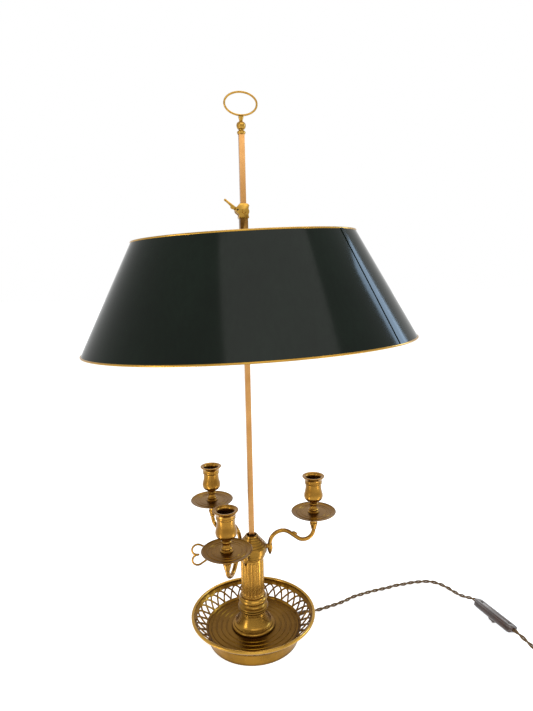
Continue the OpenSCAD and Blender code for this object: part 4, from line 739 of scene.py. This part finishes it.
for copyPlan in (
        ("arm_a", "candle_arm_1", 0, 50, 0.0005), ("arm_b", "candle_arm_2", 0, 50, 0.0005),
        ("arm_c", "candle_arm_3", 0, 50, 0.0005), ("key_bow", "heart_key", 0, 60),
        ("stem_tube", "square_stem", 0.0006, 40), ("sleeve_tube", "shade_sleeve", 0.0004, 40),
        ("latch_body", "latch_casting", 0.0005, 40), ("latch_arm", "latch_lever", 0.0004, 40),
        ("carrier_spider", "shade_carrier", 0.0004, 40), ("shoe_block", "brake_shoe", 0.0003, 40),
        ("switch_plate", "switch_base", 0.0006, 40), ("switch_hood", "switch_cover", 0.0008, 25),
        ("switch_key", "switch_rocker", 0.0004, 40), ("plug_shell", "plug_body", 0.0012, 30),
        ("gallery_band", "pierced_gallery", 0.00018, 40, 0.0003)):
    easedCopy(*copyPlan)
print("eased copies made")


# stage: pale floor and soft light

stagePlan = {"floorSize": 30, "floorColour": "#f2f2f0", "floorRough": 0.9, "floorGlow": 0.78,
             "roomColour": "#dfe3e6", "roomStrength": 0.5, "backdrop": "#ffffff"}


def seenDirectly(tree):  # rays that show the background itself, straight or in the metal
    path = add(tree, "LightPath").outputs
    mirrored = calc(tree, "MAXIMUM", path["Is Glossy Ray"], path["Is Transmission Ray"])
    return calc(tree, "MAXIMUM", path["Is Camera Ray"], mirrored)


bpy.ops.mesh.primitive_plane_add(size=stagePlan["floorSize"], location=(0, 0, 0))
floor = newest("floor")
floorPaint, tree, shader = newMaterial(
    "floorPaint", {"Base Color": stagePlan["floorColour"], "Roughness": stagePlan["floorRough"]})
glow = add(tree, "Emission", {"Color": stagePlan["backdrop"], "Strength": stagePlan["floorGlow"]})
lit = add(tree, "AddShader", {0: shader.outputs[0], 1: glow.outputs[0]})
blend = add(tree, "MixShader", {0: seenDirectly(tree), 1: shader.outputs[0], 2: lit.outputs[0]})
tree.links.new(blend.outputs[0], tree.nodes["Material Output"].inputs["Surface"])
floor.data.materials.append(floorPaint)

world = bpy.data.worlds.new("studio")
scene.world = world
world.use_nodes = True
tree = world.node_tree
seen = seenDirectly(tree)
background = tree.nodes["Background"]
fill(tree, background.inputs["Color"], mixColour(tree, seen, stagePlan["roomColour"], stagePlan["backdrop"]))
fill(tree, background.inputs["Strength"], spread(tree, seen, 0.0, 1.0, stagePlan["roomStrength"], 1.0))

lights = {  # each softbox faces its aim; the strips lie on the floor, face up and are turned there
    "frontCeiling": {"at": (0.28, -2.0, 2.35), "aim": (0, 0, 0.55), "size": (3.0, 1.3), "power": 24,
                     "tint": (1, 0.99, 0.96)},
    "leftSoftbox": {"at": (-1.9, -0.9, 0.75), "aim": (0, 0, 0.3), "size": (0.5, 0.8), "power": 8,
                    "tint": (1, 0.95, 0.86)},
    "rightWindow": {"at": (1.9, 0.2, 1.1), "aim": (0, 0, 0.5), "size": (0.5, 1.0), "power": 14,
                    "tint": (0.5, 0.72, 1)},
    "backSoftbox": {"at": (0.5, 1.2, 2.4), "aim": (0, 0, 0.4), "size": (1.4, 0.8), "power": 14,
                    "tint": (1, 1, 1)},
    "floorStripLeft": {"at": (-0.49, -0.24, 0.002), "turn": 26, "size": (0.7, 0.05), "power": 1.4,
                       "tint": (1, 0.96, 0.86)},
    "floorStripRight": {"at": (0.47, -0.29, 0.002), "turn": -32, "size": (0.7, 0.05), "power": 1.0,
                        "tint": (1, 0.97, 0.9)},
}
for name, plan in lights.items():
    if "turn" in plan:
        facing = (math.pi, 0, math.radians(plan["turn"]))
    else:
        facing = (Vector(plan["aim"]) - Vector(plan["at"])).to_track_quat("-Z", "Y").to_euler()
    bpy.ops.object.light_add(type="AREA", location=plan["at"], rotation=facing)
    lamp = newest(name)
    lamp.data.shape = "RECTANGLE"
    lamp.data.size, lamp.data.size_y = plan["size"]
    lamp.data.energy, lamp.data.color = plan["power"], plan["tint"]
    lamp.visible_camera = False
print("stage and lights set")
